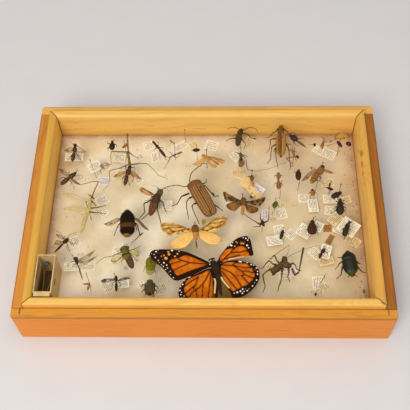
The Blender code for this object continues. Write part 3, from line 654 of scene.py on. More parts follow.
monarch_wings = {
    "left_fore": dict(
        root=39.2, tip=40.2,
        lead=[
            7.2, -60.2, -3.5, -54.3, -16.2, -48.5, -28.8, -46.2, -41.4, -46.1, -45.9, -47.3, -48.2, -49.6,
            -48.4, -51.9,
        ],
        trail=[
            7.3, -63.2, 1.1, -65.6, -8.5, -71.1, -19.8, -76.4, -24.2, -77, -27.3, -75.8, -31.5, -71.2, -37,
            -64.6, -45.9, -56.6, -48.4, -51.9,
        ],
        field=[
            3.3, -60.7, -9.8, -54.1, -15.2, -52.3, -17.9, -52.2, -22.7, -54.9, -28.9, -56.3, -31.4, -59.1,
            -28.6, -61.8, -28.9, -63.8, -27.9, -66.1, -26.3, -67.2, -25.7, -69.7, -24.1, -72.1, -22.2,
            -72.3, -14.8, -68.6, 0.2, -62.5,
        ],
        glow=[
            -32.1, -48.6, 1, -31.3, -51.2, 1.3, -23.9, -50.7, 1, -25.9, -53.3, 1, -33.9, -55.5, 1.6, -38,
            -53.4, 0.8, -35.8, -52.5, 0.9, -39.5, -50.3, 0.4, -36.8, -49.9, 0.4,
        ],
        white=[
            -28.8, -47.2, 0.9, -43, -48.6, 0.8, -41.3, -46.6, 0.5, -44.6, -51.8, 0.5, -43.3, -54.9, 0.6,
            -40.6, -57.8, 0.5, -39.6, -59.9, 0.4, -37.6, -61.9, 0.5, -35.8, -63.6, 0.6, -33.7, -66.6, 0.5,
            -35.5, -60.1, 0.8, -32.9, -62.3, 0.7, -32.1, -65.1, 0.6, -29.6, -68.4, 0.5, -31.3, -69.5, 0.3,
            -29.2, -71.6, 0.4, -26.6, -74.4, 0.5, -36.9, -56.7, 0.4, -46.8, -50.7, 0.3, -22.5, -48.3, 0.5,
        ],
        veins=[
            [2.8, -60.8, -12.3, -59.5, -15.9, -58.3, -20.4, -57.3, -22.9, -55.7],
            [-12.3, -59.5, -18.5, -62.9, -26.3, -67], [-20, -57.3, -24.8, -59.5, -29.6, -61.2],
        ],
    ),
    "left_hind": dict(
        root=38.2, tip=37.4,
        lead=[
            7.3, -63.8, 1.1, -65.6, -7.7, -70.3, -12.9, -71.8, -19.8, -79.7, -21.9, -86.7, -21.3, -91,
            -19.3, -94.8, -16.2, -95.6,
        ],
        trail=[9.9, -66.8, 11.7, -71.7, 12.7, -77.5, 12.5, -89.9, 11, -95.1, 5.9, -95.6, -16.2, -95.6],
        field=[
            5.1, -66.3, 2, -67, -1.5, -69.4, -10.3, -72.9, -13.7, -75, -15.9, -77.6, -16.2, -80.5, -17.2,
            -83.4, -16.9, -86.3, -15.1, -90.5, -11.5, -93.8, -2.8, -95.2, 5.8, -94.7, 9.7, -91.9, 9, -80.4,
            7.3, -72.7,
        ],
        white=[
            -12.5, -72.5, 0.9, -13.6, -73.1, 0.7, -17.2, -75.7, 0.8, -18.4, -79.8, 0.7, -20.2, -81.8, 0.5,
            -20.6, -85.5, 0.7, -19.1, -87.5, 0.5, -19.8, -89.7, 0.6, -18.5, -92.9, 0.6, -16.8, -91, 0.5,
        ],
        veins=[
            [5.4, -67.3, 1.2, -76.6, -3.9, -83.3, -6.5, -84.8, -10.8, -89.6, -13.3, -93.8],
            [-0.2, -79, -0.9, -86.2, -0.8, -96.6], [-5, -72.2, -5.3, -75.6, -8.7, -84.8],
            [-5.4, -73.5, -10.2, -76.6, -17.5, -82.4], [-7.4, -81.4, -11.7, -84.8, -15.6, -88.6],
            [-6.5, -84.8, -5.9, -91, -5.8, -96.6], [6.4, -70.7, 4.5, -90, 4.1, -96.6],
            [8.2, -71.7, 8.4, -90.9, 7.6, -96.6],
        ],
        pale=[[9.5, -74.6, 10.3, -78.5, 9.7, -88.1]],
    ),
    "right_fore": dict(
        root=39.2, tip=40.6,
        lead=[
            9, -61.2, 12.4, -56.7, 14.8, -51.7, 21.5, -42.4, 29.6, -34.9, 36.9, -32.5, 39.9, -33.8, 41.9,
            -37.4,
        ],
        trail=[11.7, -62.2, 16.1, -59.5, 24.1, -56.1, 41.1, -52.7, 43.9, -52.1, 43.7, -48.1, 41.9, -37.4],
        field=[
            14.6, -58.2, 14.3, -54.2, 18.3, -47.4, 20.6, -45.9, 23.3, -45.3, 26.4, -45.7, 32.3, -42.9, 35.4,
            -43.7, 37.6, -45.4, 38.5, -47.1, 38.1, -48.4, 39.6, -49.4, 41.1, -53.7, 32.1, -56.2, 19.7,
            -58.7,
        ],
        glow=[
            28.7, -38.5, 0.8, 29.8, -39.7, 0.7, 27.5, -43.1, 0.8, 33.5, -40.5, 0.9, 35.2, -40.7, 0.9, 32.7,
            -38.8, 0.4, 34.5, -38.9, 0.4, 36.3, -39, 0.4, 22.8, -49, 0.5,
        ],
        white=[
            23.7, -41.4, 0.8, 24.6, -42.4, 0.8, 25.4, -39.1, 0.6, 35.2, -34.4, 0.5, 37.5, -35.3, 0.7, 40,
            -35.2, 0.4, 39.2, -37.3, 0.6, 38.5, -42.6, 0.8, 39.8, -45, 0.6, 22, -42.5, 0.4,
        ],
        veins=[
            [14.8, -58.7, 22.8, -50.8, 25.5, -47.2, 27.8, -44.9],
            [23.3, -50.2, 27.7, -49.2, 32.2, -49.4, 35.8, -48.1, 38.7, -47.9],
            [15.2, -58.2, 17.9, -56.1, 21.5, -55.2, 32.2, -52],
        ],
        pale=[[22.3, -56.2, 28.6, -55.1, 35.7, -53.8]],
    ),
    "right_hind": dict(
        root=38.2, tip=38.0,
        lead=[
            9, -61.8, 15.2, -59.6, 21.5, -56.8, 30.4, -56.1, 37.9, -58, 41, -58.3, 44.5, -60, 47.3, -62.7,
            49, -66.2, 49.3, -70.6,
        ],
        trail=[
            9.9, -64.8, 12.6, -69.7, 15.7, -86.1, 19.7, -92.8, 25.7, -93.7, 32.7, -91.8, 37.4, -89.2, 42.7,
            -84.6, 46.8, -79.3, 48.9, -74, 49.3, -70.6,
        ],
        field=[
            16.1, -60.8, 17.9, -59.1, 21.5, -58, 25, -57.8, 32.1, -59.2, 37.4, -59.3, 39.6, -60.8, 40.6,
            -63.2, 43.1, -64.7, 43.5, -67.7, 45.1, -70.1, 44.4, -73, 42.9, -75.8, 37.6, -80.8, 34.5, -82,
            26.2, -87, 23.6, -85.1, 16.1, -73.1, 15.1, -66.8, 15.2, -62.8,
        ],
        fold=[13.5, -67.8, 15.3, -74.6, 17, -78, 23.1, -87.1, 25.7, -93.7, 18.8, -94.6, 12.7, -85.2],
        white=[
            31.6, -57.3, 0.7, 33, -57.7, 0.7, 38.6, -58.2, 0.6, 42, -60.3, 0.7, 44.2, -61.1, 0.5, 46.6, -64,
            0.7, 47.5, -67.4, 0.6, 47.3, -70.2, 0.6, 46.4, -75.8, 0.6, 42.8, -81.4, 0.6, 44.6, -78.4, 0.3,
            39.7, -84.1, 0.3, 38.2, -85.9, 0.6, 36.5, -84.5, 0.3, 34, -84.5, 0.7, 35.3, -86.6, 0.5, 32.2,
            -86.5, 0.8, 29.4, -87.6, 0.9, 33.9, -88.4, 0.7, 26.8, -88.5, 0.6, 45.3, -65.7, 0.3,
        ],
        veins=[
            [15.7, -60.6, 20.6, -61.3, 25, -61.1, 27.2, -59.3, 29.5, -58.4],
            [25.4, -61.3, 35.6, -63.3, 40.9, -63.5], [26.8, -62.3, 33.8, -67.5, 36, -70.6, 43.8, -74],
            [32.9, -66.7, 38.2, -67.5, 43.9, -68.9],
            [15.7, -64.5, 24.1, -68.7, 26.3, -70.7, 32.9, -71.6, 36.4, -70.4],
            [33.3, -71.9, 36.3, -75.5, 39.3, -79], [25.8, -70.7, 28.9, -74.5, 33.6, -83.2],
            [16.1, -67.3, 26.6, -81.8, 29.7, -85.6], [15.3, -70.2, 17.9, -76.5, 25.7, -88.9],
        ],
        pale=[[15.4, -73.1, 17.5, -77, 22.2, -83.2]],
    ),
}
monarch = Piece()
for place, shape in monarch_wings.items():
    edges = (shape["lead"], shape["trail"])
    wing, out, across = wing_rings(*edges, shape["root"], shape["tip"], (110, 104), 0.16, 0.8)
    to_vein = nearest(wing, shape["veins"])
    wing[..., 2] += 0.16 * np.exp(-((to_vein / 0.4) ** 2)) + 0.12 * np.sin(out * 9 + across * 5)
    monarch.rings(
        wing, scales, to_vein=to_vein, in_field=inside(wing, shape["field"]),
        in_white=dotted(wing, shape["white"]), in_glow=dotted(wing, shape.get("glow", ())),
        in_fold=inside(wing, shape["fold"]) if "fold" in shape else -9.0,
        to_pale=nearest(wing, shape["pale"]) if "pale" in shape else 9.0,
    )


def body_measures(share, turn):
    """What the finish of a body reads: the share along it, the turn from its top and the way across."""
    along = share[:, None]
    from_top = np.abs(turn - np.pi / 2)[None] / np.pi
    sideways = np.cos(turn)[None] + 0 * along
    return {"along": along + 0 * turn, "round": from_top + 0 * along, "sideways": sideways}


GROOVE_DEPTH = 0.12


def lobe(start, end, width, height, rings=18, sides=16, blunt=2.0, taper=0.0, grooves=0):
    """An egg between two points. Its half width and height at share t of the way are those given times
    (1 - |2t - 1|^blunt)^(1/blunt), more at the start where taper is above 0, and pinched by grooves."""
    t = (1 - np.cos(np.linspace(0.05 * np.pi, 0.97 * np.pi, rings))) / 2
    shape = (1 - np.abs(2 * t - 1) ** blunt) ** (1 / blunt) * (1 + taper * (0.5 - t))
    if grooves:
        shape = shape * (1 - GROOVE_DEPTH * (0.5 + 0.5 * np.cos(2 * np.pi * (grooves * t + 0.5))) ** 6)
    start, end = np.asarray(start, float), np.asarray(end, float)
    path = start + (end - start) * t[:, None]
    turn = round_turn(sides)
    return tube(path, shape * width, shape * height, sides, (0, 0, 1)), body_measures(t, turn)


def add_lobe(piece, finish, *size, **shape):
    """One lobe of that finish, whose rings are handed back for hair to grow on."""
    rings, measures = lobe(*size, **shape)
    piece.rings(rings, finish, **measures)
    return rings


def add_knobs(piece, finish, half, width, *middles, **shape):
    """Short round lobes, such as eyes, that reach half forwards and half backwards of their middles."""
    for x, y, z in middles:
        add_lobe(piece, finish, (x, y - half, z), (x, y + half, z), width, width, **shape)


def add_hair(piece, finish, rings, count, length, seed, width):
    """Three-sided spikes from chosen points of a ringed surface, roughly outwards from its axis."""
    draw = np.random.default_rng(seed)
    n, m = rings.shape[:2]
    row = draw.integers(0, n - 1, count)
    column = draw.integers(0, m, count)
    share = draw.random((count, 1))
    base = rings[row, column] * (1 - share) + rings[row + 1, (column + 1) % m] * share
    outward = unit(base - rings.mean(1)[row])
    outward = unit(outward + draw.normal(0, 0.35, (count, 3)))
    tip = base + outward * length * draw.uniform(0.6, 1.3, (count, 1))
    side = unit(np.cross(outward, (0.3, 0.5, 0.8))) * width
    back = unit(np.cross(outward, side)) * width
    base = base - outward * 0.15
    foot = base - 0.5 * side
    corners = np.stack([base + side, foot + 0.87 * back, foot - 0.87 * back, tip], 1)
    first = np.arange(count)[:, None, None] * 4
    faces = first + np.array([[0, 2, 1], [0, 1, 3], [1, 2, 3], [2, 0, 3]])
    piece.solid(corners.reshape(-1, 3), faces.reshape(-1, 3).tolist(), finish)


abdomen = ((11.6, -67.5, 38.2), (15.8, -90.6, 37.4))
add_lobe(monarch, butterfly_fur, *abdomen, 2.1, 2.0, rings=40, grooves=8, taper=0.3)
add_lobe(monarch, butterfly_fur, (6.4, -54.2, 38.3), (8.8, -59.4, 38.3), 2.5, 2.2)
add_knobs(monarch, butterfly_fur, 1.1, 1.0, (4.9, -56.0, 38.6), (8.7, -54.9, 38.6), rings=8, sides=10)
for x, y, z, half in ((6.0, -57.4, 40.2, 0.6), (8.7, -57.0, 40.2, 0.55), (5.3, -61.4, 40.6, 0.6)):
    add_lobe(monarch, white_fur, (x - half, y, z), (x + half, y, z), half, half * 0.6, 7, 8)
thorax = add_lobe(monarch, butterfly_fur, (8.0, -57.5, 38.4), (12.8, -70.0, 38.4), 3.4, 3.1, blunt=2.3)
add_hair(monarch, butterfly_fur, thorax, 900, 1.0, 11, width=0.06)
monarch.make("monarch_specimen", "monarch_butterfly", slot="monarch_scales")

# ---------------------------------------------------------------- the four moths
# Dried and faded, each on its pin with the wings set out. Powdery scales have rubbed off along the
# veins; the brown one keeps its mottling, and the cream and amber ones are torn.


def moth_scales(name, pale, dark, brown, soft):
    """Powdery wing scales: pale, mottled with dark, darker along veins, in spots and at the far edge."""
    scales = Finish(name, Roughness=0.85, Specular_IOR_Level=0.1)
    pale, dark = tint(*pale), tint(*dark)
    powder = scales.noise(scales.place(0.35), detail=3.0, rough=0.7)
    cloud = scales.noise(scales.place(4), detail=4.0, rough=0.6)
    vein, spot, out = scales.measure("to_vein"), scales.measure("in_dark"), scales.measure("out")
    wobble = (powder - 0.5) * 0.5 + (cloud - 0.5) * 0.8 * soft
    colour = scales.blend(cloud.within(0.42, 0.62) * brown, pale, dark)
    colour = scales.blend((vein + wobble * 0.4).within(0.7 * soft, 0.15) * 0.85, colour, dark)
    colour = scales.blend((spot + wobble).within(-0.6, 0.3) * 0.9, colour, dark)
    colour = scales.blend((out + wobble * 0.1).within(0.86, 1.02) * 0.35, colour, dark)
    colour = scales.blend(powder.within(0.5, 0.8) * 0.2, colour, tuple(min(c * 1.5, 1.0) for c in pale))
    return scales.dress(colour, None, powder - vein.within(0.4, 0.0) * -1.2, 0.06, 0.6)


FOREWING = {"root": 38.4, "tip": 39.4}
HINDWING = {"root": 38.0, "tip": 37.6}


def add_moth_wing(
    piece, finish, lead, trail, root, tip, veins=(), dark=(), size=(46, 44), camber=0.5,
):
    """A wing with its veins raised, fanned between the two edges unless they are given."""
    wing, out, across = wing_rings(lead, trail, root, tip, size, 0.11, camber)
    if not veins:
        fan = [0.2, 0.42, 0.62, 0.8]
        n = size[0]
        start, end = smooth_line(pairs(lead), n), smooth_line(pairs(trail), n)
        veins = [(start * (1 - f) + end * f)[:: n // 8] for f in fan]
    to_vein = nearest(wing, veins)
    wing[..., 2] += 0.1 * np.exp(-((to_vein / 0.35) ** 2))
    piece.rings(wing, finish, to_vein=to_vein, in_dark=dotted(wing, dark), out=out)


def add_legs(piece, finish, thick, heights, *legs):
    """Each leg is x, y of its joints in turn, and the heights of hip, knee and foot are shared out
    along them. Every run keeps straight and bends close to the joint; the first run is swollen in
    its middle like a thigh, and each next one is thinner."""
    for flat in legs:
        joints = pairs(flat)
        runs = len(joints) - 1
        rise = np.interp(np.arange(runs + 1) / runs, (0, 0.5, 1), heights)
        joints = np.column_stack([joints, rise])
        share = np.array([0.04, 0.25, 0.5, 0.75, 0.96])
        path = (joints[:-1, None] + np.diff(joints, axis=0)[:, None] * share[:, None]).reshape(-1, 3)
        path = np.vstack([joints[:1], path, joints[-1:]])
        run = np.arange(len(path)) / len(path) * runs
        girth = thick * (1.0 - 0.62 * run / runs)
        girth = girth * (1 + 0.35 * np.clip(np.sin(np.pi * np.minimum(run, 1.0)), 0, 1))
        piece.rings(tube(path, girth), finish)


def add_feeler(piece, finish, points, thick, beads=0, count=26):
    """An antenna: a smooth line that thins to half, with a swelling at each of its beads."""
    path = smooth_line(np.reshape(points, (-1, 3)), count)
    t = np.linspace(0, 1, count)
    girth = thick * (1 - 0.5 * t)
    if beads:
        girth = girth * (1 + 0.45 * np.abs(np.sin(np.pi * beads * t)) ** 3)
    piece.rings(tube(path, girth, sides=5), finish)


yellow_scales = moth_scales("yellow_moth_scales", (228, 176, 94), (84, 42, 10), 0.55, 1.15)
yellow_plain = moth_scales("yellow_hindwing_scales", (242, 196, 112), (204, 146, 70), 0.3, 0.6)


def fluff(name, light, dark, bump=0.2):
    """Matted hair: light and dark by a fine noise, with a little sheen."""
    hair = Finish(name, Roughness=0.95, Specular_IOR_Level=0.08, Sheen_Weight=0.03)
    strand = hair.noise(hair.place(0.6), detail=5.0, rough=0.7)
    return hair.dress(hair.blend(strand.within(0.3, 0.7), tint(*light), tint(*dark)), None, strand, bump)


brown_fur = fluff("brown_moth_fur", (58, 34, 12), (150, 104, 54))
tan_fur = fluff("tan_moth_fur", (214, 154, 74), (146, 92, 36))

yellow = Piece(-8, -24)
add_moth_wing(
    yellow, yellow_scales, **FOREWING,
    lead=[0.3, -0.4, -5.2, 0.2, -19.1, 5.4, -28.3, 6, -31.5, 5, -32.5, 2.7],
    trail=[0.4, -3.1, -10.5, -4.6, -20.5, -7.2, -24.1, -7.4, -27.4, -5.5, -30.7, -2.1, -32.5, 2.7],
    veins=[
        [-5.2, -0.5, -9.7, -1.1, -14.3, -2.5, -22.4, -3.2], [-8.8, 0.2, -19.9, 1.1, -28.9, -1],
        [-24.9, 0.6, -22.5, -2.1, -20.6, -4.7], [-10.7, 1.6, -18.1, 3.2, -25.4, 3.3, -30.5, 2.5],
        [-17.9, -3, -22.4, -5.5, -25.5, -5.7],
    ],
    dark=[
        -20.2, -3.6, 0.95, -25.1, -0.1, 0.69, -12, -3.2, 0.77, -15.6, -2.7, 0.69, -7, -1.1, 1, -30.5, 3.3,
        0.77, -14.4, 1, 0.43,
    ],
    size=(70, 60),
)
add_moth_wing(
    yellow, yellow_scales, root=38.4, tip=39.6,
    lead=[0.3, -0.4, 6.7, 2.1, 14.8, 9.8, 24, 13, 27.7, 12.8, 29.3, 10.7],
    trail=[0.4, -3.1, 12.2, -3.6, 16.8, -3, 21.3, -1.5, 25.4, 1.7, 28, 5.9, 29.3, 10.7],
    veins=[
        [4, -1, 10.4, -2.3, 14.9, 0.1, 21.3, 1.5], [7.6, 0.6, 14, 5, 20.4, 5.6, 24.9, 7],
        [21.7, 5.9, 22.7, 3.8, 21.7, 1.5], [11.2, 4.3, 16.7, 8.2, 23.1, 10.1, 27.7, 10.1],
        [21.3, 1.5, 24.9, 4.3, 27.7, 8.6],
    ],
    dark=[
        10.4, -2.3, 1, 15.8, 0.4, 0.69, 19.5, 1.2, 0.77, 23.6, 6.3, 0.69, 6.7, -1, 0.69, 18.6, -0.4, 0.52,
    ],
    size=(70, 60),
)
add_moth_wing(
    yellow, yellow_plain, **HINDWING, size=(50, 44), camber=0.7,
    lead=[-2.4, -1.6, -8.8, -3.7, -19.5, -11.5, -22.7, -15.7, -22.6, -18.2],
    trail=[0.4, -6.3, -2.7, -10, -7.5, -17.2, -12, -19.7, -17.4, -20.1, -21, -19.4, -22.6, -18.2],
)
add_moth_wing(
    yellow, yellow_plain, **HINDWING, size=(50, 44), camber=0.7,
    lead=[2.1, -1.6, 14, -4.2, 19.5, -6.8, 23.2, -9.4, 24.2, -11.5],
    trail=[0.4, -7.4, 5, -9.9, 9.1, -13.3, 13.2, -15.5, 18.7, -15.4, 22.3, -13.5, 24.2, -11.5],
)
thorax = add_lobe(yellow, brown_fur, (-0.9, 3.9, 38.6), (0, -4.9, 38.2), 3.3, 2.4, blunt=2.3)
add_lobe(yellow, tan_fur, (-0.3, -1.2, 38.2), (0.5, -12.8, 37.6), 2.6, 2.0, rings=24, grooves=6, taper=0.6)
add_lobe(yellow, brown_fur, (0.1, -10.8, 37.8), (1.7, -20.3, 37.2), 0.75, 0.7, rings=20, grooves=5)
add_legs(yellow, brown_fur, 0.5, (38, 38, 38), [2, -3, 3, -7, 4, -10], [-3.4, -0.9, -3.7, -3.2, -4.6, -4.8])
add_hair(yellow, brown_fur, thorax, 500, 0.9, 5, width=0.06)
add_hair(yellow, tan_fur, thorax, 300, 0.9, 6, width=0.06)
yellow.make("yellow_moth_specimen", "yellow_moth", slot="moth_scales")

leaf = Finish("green_leaf", Roughness=0.6)
leaf_veins = leaf.noise(leaf.place((0.8, 2.5, 1)), detail=4.0)
leaf.dress(leaf.blend(leaf_veins, tint(150, 140, 26), tint(98, 96, 14)), None, leaf_veins, 0.1)
leaf_piece = Piece(-2, -20)
leaf_rings, out, across = wing_rings(
    [-0.4, -0.3, -0.7, 2.9, 0, 5], [1.1, -0.1, 3.4, 1.9, 3, 4.5], 39.2, 39.9, (10, 14), 0.1, 0.3,
)
leaf_piece.rings(leaf_rings, leaf)
leaf_piece.make("leaf_scrap")

mottled_scales = moth_scales("brown_moth_scales", (204, 160, 104), (44, 24, 8), 0.85, 1.4)
dusky_scales = moth_scales("brown_hindwing_scales", (172, 122, 60), (66, 38, 12), 0.7, 1.0)
brown = Piece(36, 6)
add_moth_wing(
    brown, mottled_scales, **FOREWING, lead=[-0.5, 0, -6, 2.4, -15.4, 8.5, -18.2, 9.7, -19.1, 8.4],
    trail=[-0.5, -3.2, -6.1, -1.5, -10.7, -1.1, -16.3, -1.1, -18.6, 5.1, -19.1, 8.4],
    dark=[
        -13.5, 2.5, 1.3, -17.4, 2.2, 1.2, -15.8, -0.9, 0.77, -10.2, 4.2, 0.77, -11.6, -0.8, 0.69, -6.5,
        -0.4, 0.95, -8.4, 2.2, 0.52, -17, 8.2, 0.6,
    ],
)
add_moth_wing(
    brown, mottled_scales, **FOREWING, lead=[-0.5, 0, 6.1, -0.2, 15.4, 3, 19.2, 3.8, 20.6, 2.5],
    trail=[-0.5, -3.2, 5.1, -3.7, 13.8, -6.8, 18.9, -1.5, 20.6, 2.5],
    dark=[
        7.4, -1.8, 1.2, 12.4, -0.4, 0.86, 18.6, -0.2, 1.3, 15.7, -5, 0.95, 13.5, 1.9, 0.69, 10.6, -4.6,
        0.69, 3.7, -1.5, 0.86,
    ],
)
add_moth_wing(
    brown, dusky_scales, **HINDWING, camber=0.6,
    lead=[-1.9, -1.6, -7, -0.3, -11.6, -1.1, -14.9, -2.7, -16.3, -4.9],
    trail=[-1.4, -5.4, -3.5, -6.5, -8.9, -11.6, -14.4, -8.3, -16.3, -4.9],
)
add_moth_wing(
    brown, dusky_scales, **HINDWING, camber=0.6, lead=[1.4, -2.4, 10.6, -6, 13.4, -7.6, 13.7, -9.8],
    trail=[1.3, -5.4, 2.7, -10.9, 4.9, -13.2, 8.6, -13.5, 11.9, -12.1, 13.7, -9.8],
)
thorax = add_lobe(brown, brown_fur, (0.1, 3.4, 38.5), (0, -5.1, 38.2), 2.6, 2.2, blunt=2.3)
add_lobe(brown, tan_fur, (-0.3, -3.3, 38), (-1.2, -15.3, 37.4), 1.7, 1.6, rings=26, grooves=7)
add_hair(brown, brown_fur, thorax, 450, 0.8, 8, width=0.06)
brown.make("brown_moth_specimen", "brown_moth", slot="moth_scales")

cream_scales = moth_scales("cream_moth_scales", (236, 206, 146), (176, 124, 66), 0.3, 0.5)
cream = Piece(44, 32)
add_moth_wing(
    cream, cream_scales, root=38.4, tip=39.2, lead=[0.4, -0.3, -8.1, 4.4, -15.7, 7, -17.6, 6.6],
    trail=[0.3, -3.1, -4.4, -4.4, -9.6, -1.9, -14.8, -0.3, -17.3, 1.7, -17.6, 6.6],
    dark=[-15.2, 5.4, 0.69, -2, 0.3, 1, -4.8, 0.8, 0.69],
)
add_moth_wing(
    cream, cream_scales, **HINDWING, camber=0.3,
    lead=[-1.5, -2.6, -6.7, -2.2, -10.7, -4.9, -11.1, -8.2, -8.3, -12.3, -5, -15],
    trail=[-0.6, -4.3, -3.5, -10.5, -4.2, -14.5, -5, -15],
)
add_moth_wing(
    cream, cream_scales, root=37.8, tip=36.8, camber=0.3,
    lead=[-0.1, -3.5, 2.1, -9.1, 9, -18.6, 9.4, -20.8],
    trail=[-2, -4.6, -3.9, -12.5, -1.8, -17.5, 2.8, -22, 7, -23.1, 9.4, -20.8],
    dark=[0.1, -17.5, 1, 2.9, -20.8, 1.1, -2.2, -13, 0.69],
)
add_lobe(cream, brown_fur, (0.1, 2.5, 38.6), (0.3, -4.4, 38.2), 1.9, 1.8, blunt=2.2)
add_lobe(cream, tan_fur, (0.4, -2.7, 38.1), (1.2, -10.7, 37.4), 1.5, 1.4, rings=20, grooves=5)
add_legs(
    cream, brown_fur, 0.38, (38, 39, 38), [0.9, -0.3, 3, 0.1, 4.7, 2.8], [-1, 1.4, -2.6, 1.3, -3.8, 0.8],
)
add_feeler(cream, brown_fur, [1.4, 1.5, 39, 3.8, 2.9, 39, 5.1, 1.5, 39], 0.14)
cream.make("cream_moth_specimen", "cream_moth", slot="moth_scales")

amber_scales = moth_scales("amber_moth_scales", (224, 176, 112), (104, 54, 24), 0.35, 0.9)
amber_pale = moth_scales("amber_hindwing_scales", (232, 196, 136), (180, 130, 74), 0.4, 1.0)
amber_moth = Piece(1, 57)
add_moth_wing(
    amber_moth, amber_scales, root=38.4, tip=39.0, lead=[0.3, -0.2, 11, -2.8, 15.3, -4.5, 17.9, -6.5],
    trail=[-0.1, -3.3, 8.2, -10.3, 12, -12.2, 14.9, -10.8, 17.9, -6.5],
    veins=[
        [1.3, -1.4, 6.2, -5.4, 12, -10.3], [1.3, -1.2, 7.1, -3.5, 14.9, -8.9],
        [7.1, -3.5, 12.9, -5.4, 16.8, -6.8], [3.3, -2.8, 8.1, -7.8, 10.6, -10.8],
        [1.3, -0.8, 8.1, -2.4, 15.8, -5.2],
    ],
    size=(60, 50),
)
add_moth_wing(
    amber_moth, amber_pale, **HINDWING, camber=0.3, lead=[0.8, -3.4, 4.3, -7.6, 8.1, -9.9, 10.8, -12],
    trail=[-0.1, -5.7, 2.9, -10.8, 6.3, -14.3, 10.8, -12],
)
add_moth_wing(
    amber_moth, amber_pale, root=38.2, tip=37.4, camber=0.3,
    lead=[-0.1, -1, -4.5, -1.7, -8.8, -5.7, -13.8, -9.2], trail=[1.4, -5.7, -7.2, -12.2, -13.8, -9.2],
)
add_lobe(amber_moth, tan_fur, (-4.9, 1, 38.5), (1.8, -3, 38.2), 2.0, 1.9)
add_lobe(amber_moth, tan_fur, (-0.6, -1.7, 38.2), (6.7, -6, 37.6), 1.5, 1.5, rings=22, grooves=6)
add_legs(amber_moth, tan_fur, 0.4, (38, 38, 37), [-2.1, -1, -3.5, -4.5, -2, -6.2])
amber_moth.make("amber_moth_specimen", "amber_moth", slot="moth_scales")

# ---------------------------------------------------------------- the beetles
# Hard wing cases meet in a seam down the back, ridged on the brown one and polished on the black
# ones. Legs and feelers were set out when fresh; many are bent or have lost their feet.


def chitin(
    name, light, dark, rough, coat=0.0, stripes=0.0, bands=0.0, seam=0.0, dusty=0.15, pit=0.12,
    second_tone=None,
):
    """Horny skin: light and dark in clouds, with dark sine stripes lengthwise, sine bands round it
    and a seam; a second colour fades in between two shares of the way along, brown on the dark green
    beetle and a painted highlight on the green scarab; dust."""
    skin = Finish(name, Coat_Weight=coat, Coat_Roughness=0.25, Specular_IOR_Level=0.15)
    cloud = skin.noise(skin.place(2.2), detail=4.0, rough=0.6)
    grain = skin.noise(skin.place(0.25), detail=3.0, rough=0.7)
    pits = skin.cells(skin.place(0.3))
    along, round_back, sideways = skin.measure("along"), skin.measure("round"), skin.measure("sideways")
    shade = cloud.within(0.3, 0.7) * 0.55 + grain.within(0.35, 0.75) * 0.3
    if stripes:
        wave = (sideways * stripes * math.pi + grain * 0.9).maths("SINE")
        shade = shade * 0.5 + wave.within(0.0, 1.0) * 0.5
    if bands:
        shade = shade + (along * bands * 2 * math.pi + cloud).maths("SINE").within(0.3, 1.0) * 0.7
    if seam:
        shade = shade + sideways.size().within(seam, seam * 0.3) * round_back.within(0.5, 0.4)
    colour = skin.blend(shade.within(0.0, 1.0), tint(*light), tint(*dark))
    if second_tone:
        tone, start, end = second_tone
        colour = skin.blend((along + cloud * 0.2 - 0.1).within(start, end), colour, tint(*tone))
    colour = skin.blend((grain + cloud).within(1.05, 1.4) * dusty * 2, colour, tint(196, 176, 140))
    return skin.dress(colour, rough + grain * 0.25, pits * -1.0 + grain, pit, 0.7)


UNDERSIDE_FLATNESS = 0.6


def shell(
    start, end, widths, height, rings=44, sides=40, ribs=0, ridge=0.1, cleft=0.0, notch=0.0, blunt=5.0,
):
    """A back between two points. The half widths stand at even steps, the height follows the width
    share to the power 0.6 and both ends round off by the blunt power. Ribs add a cosine across,
    cleft sinks the middle line and notch draws the rear forwards there. Its underside is flatter."""
    start, end = np.asarray(start, float), np.asarray(end, float)
    t = (1 - np.cos(np.linspace(0, np.pi, rings))) / 2
    line = smooth_line(np.column_stack([np.linspace(0, 1, len(widths)), widths]), 160)
    width = np.interp(t, line[:, 0], line[:, 1]) * (1.0001 - np.abs(2 * t - 1) ** blunt) ** 0.5
    tall = height * (width / width.max()) ** 0.6
    turn = round_turn(sides)
    path = start + (end - start) * t[:, None]
    made = tube(path, width, tall, sides, (0, 0, 1))
    side, top = np.cos(turn)[None], np.clip(np.sin(turn), 0, 1)[None]
    made[..., 2] -= np.minimum(made[..., 2] - path[:, None, 2], 0) * (1 - UNDERSIDE_FLATNESS)
    made[..., 2] += ridge * np.cos(ribs * np.pi * side) * top**0.5 * (tall / height)[:, None] * (ribs > 0)
    made[..., 2] -= cleft * np.exp(-((side / 0.07) ** 2)) * (top > 0) * (tall / height)[:, None]
    made -= (end - start) * (notch * np.exp(-((side / 0.4) ** 2)) * t[:, None] ** 8)[..., None]
    return made, body_measures(t, turn)


def add_shell(piece, finish, *size, **shape):
    """One shell of that finish."""
    rings, measures = shell(*size, **shape)
    piece.rings(rings, finish, **measures)


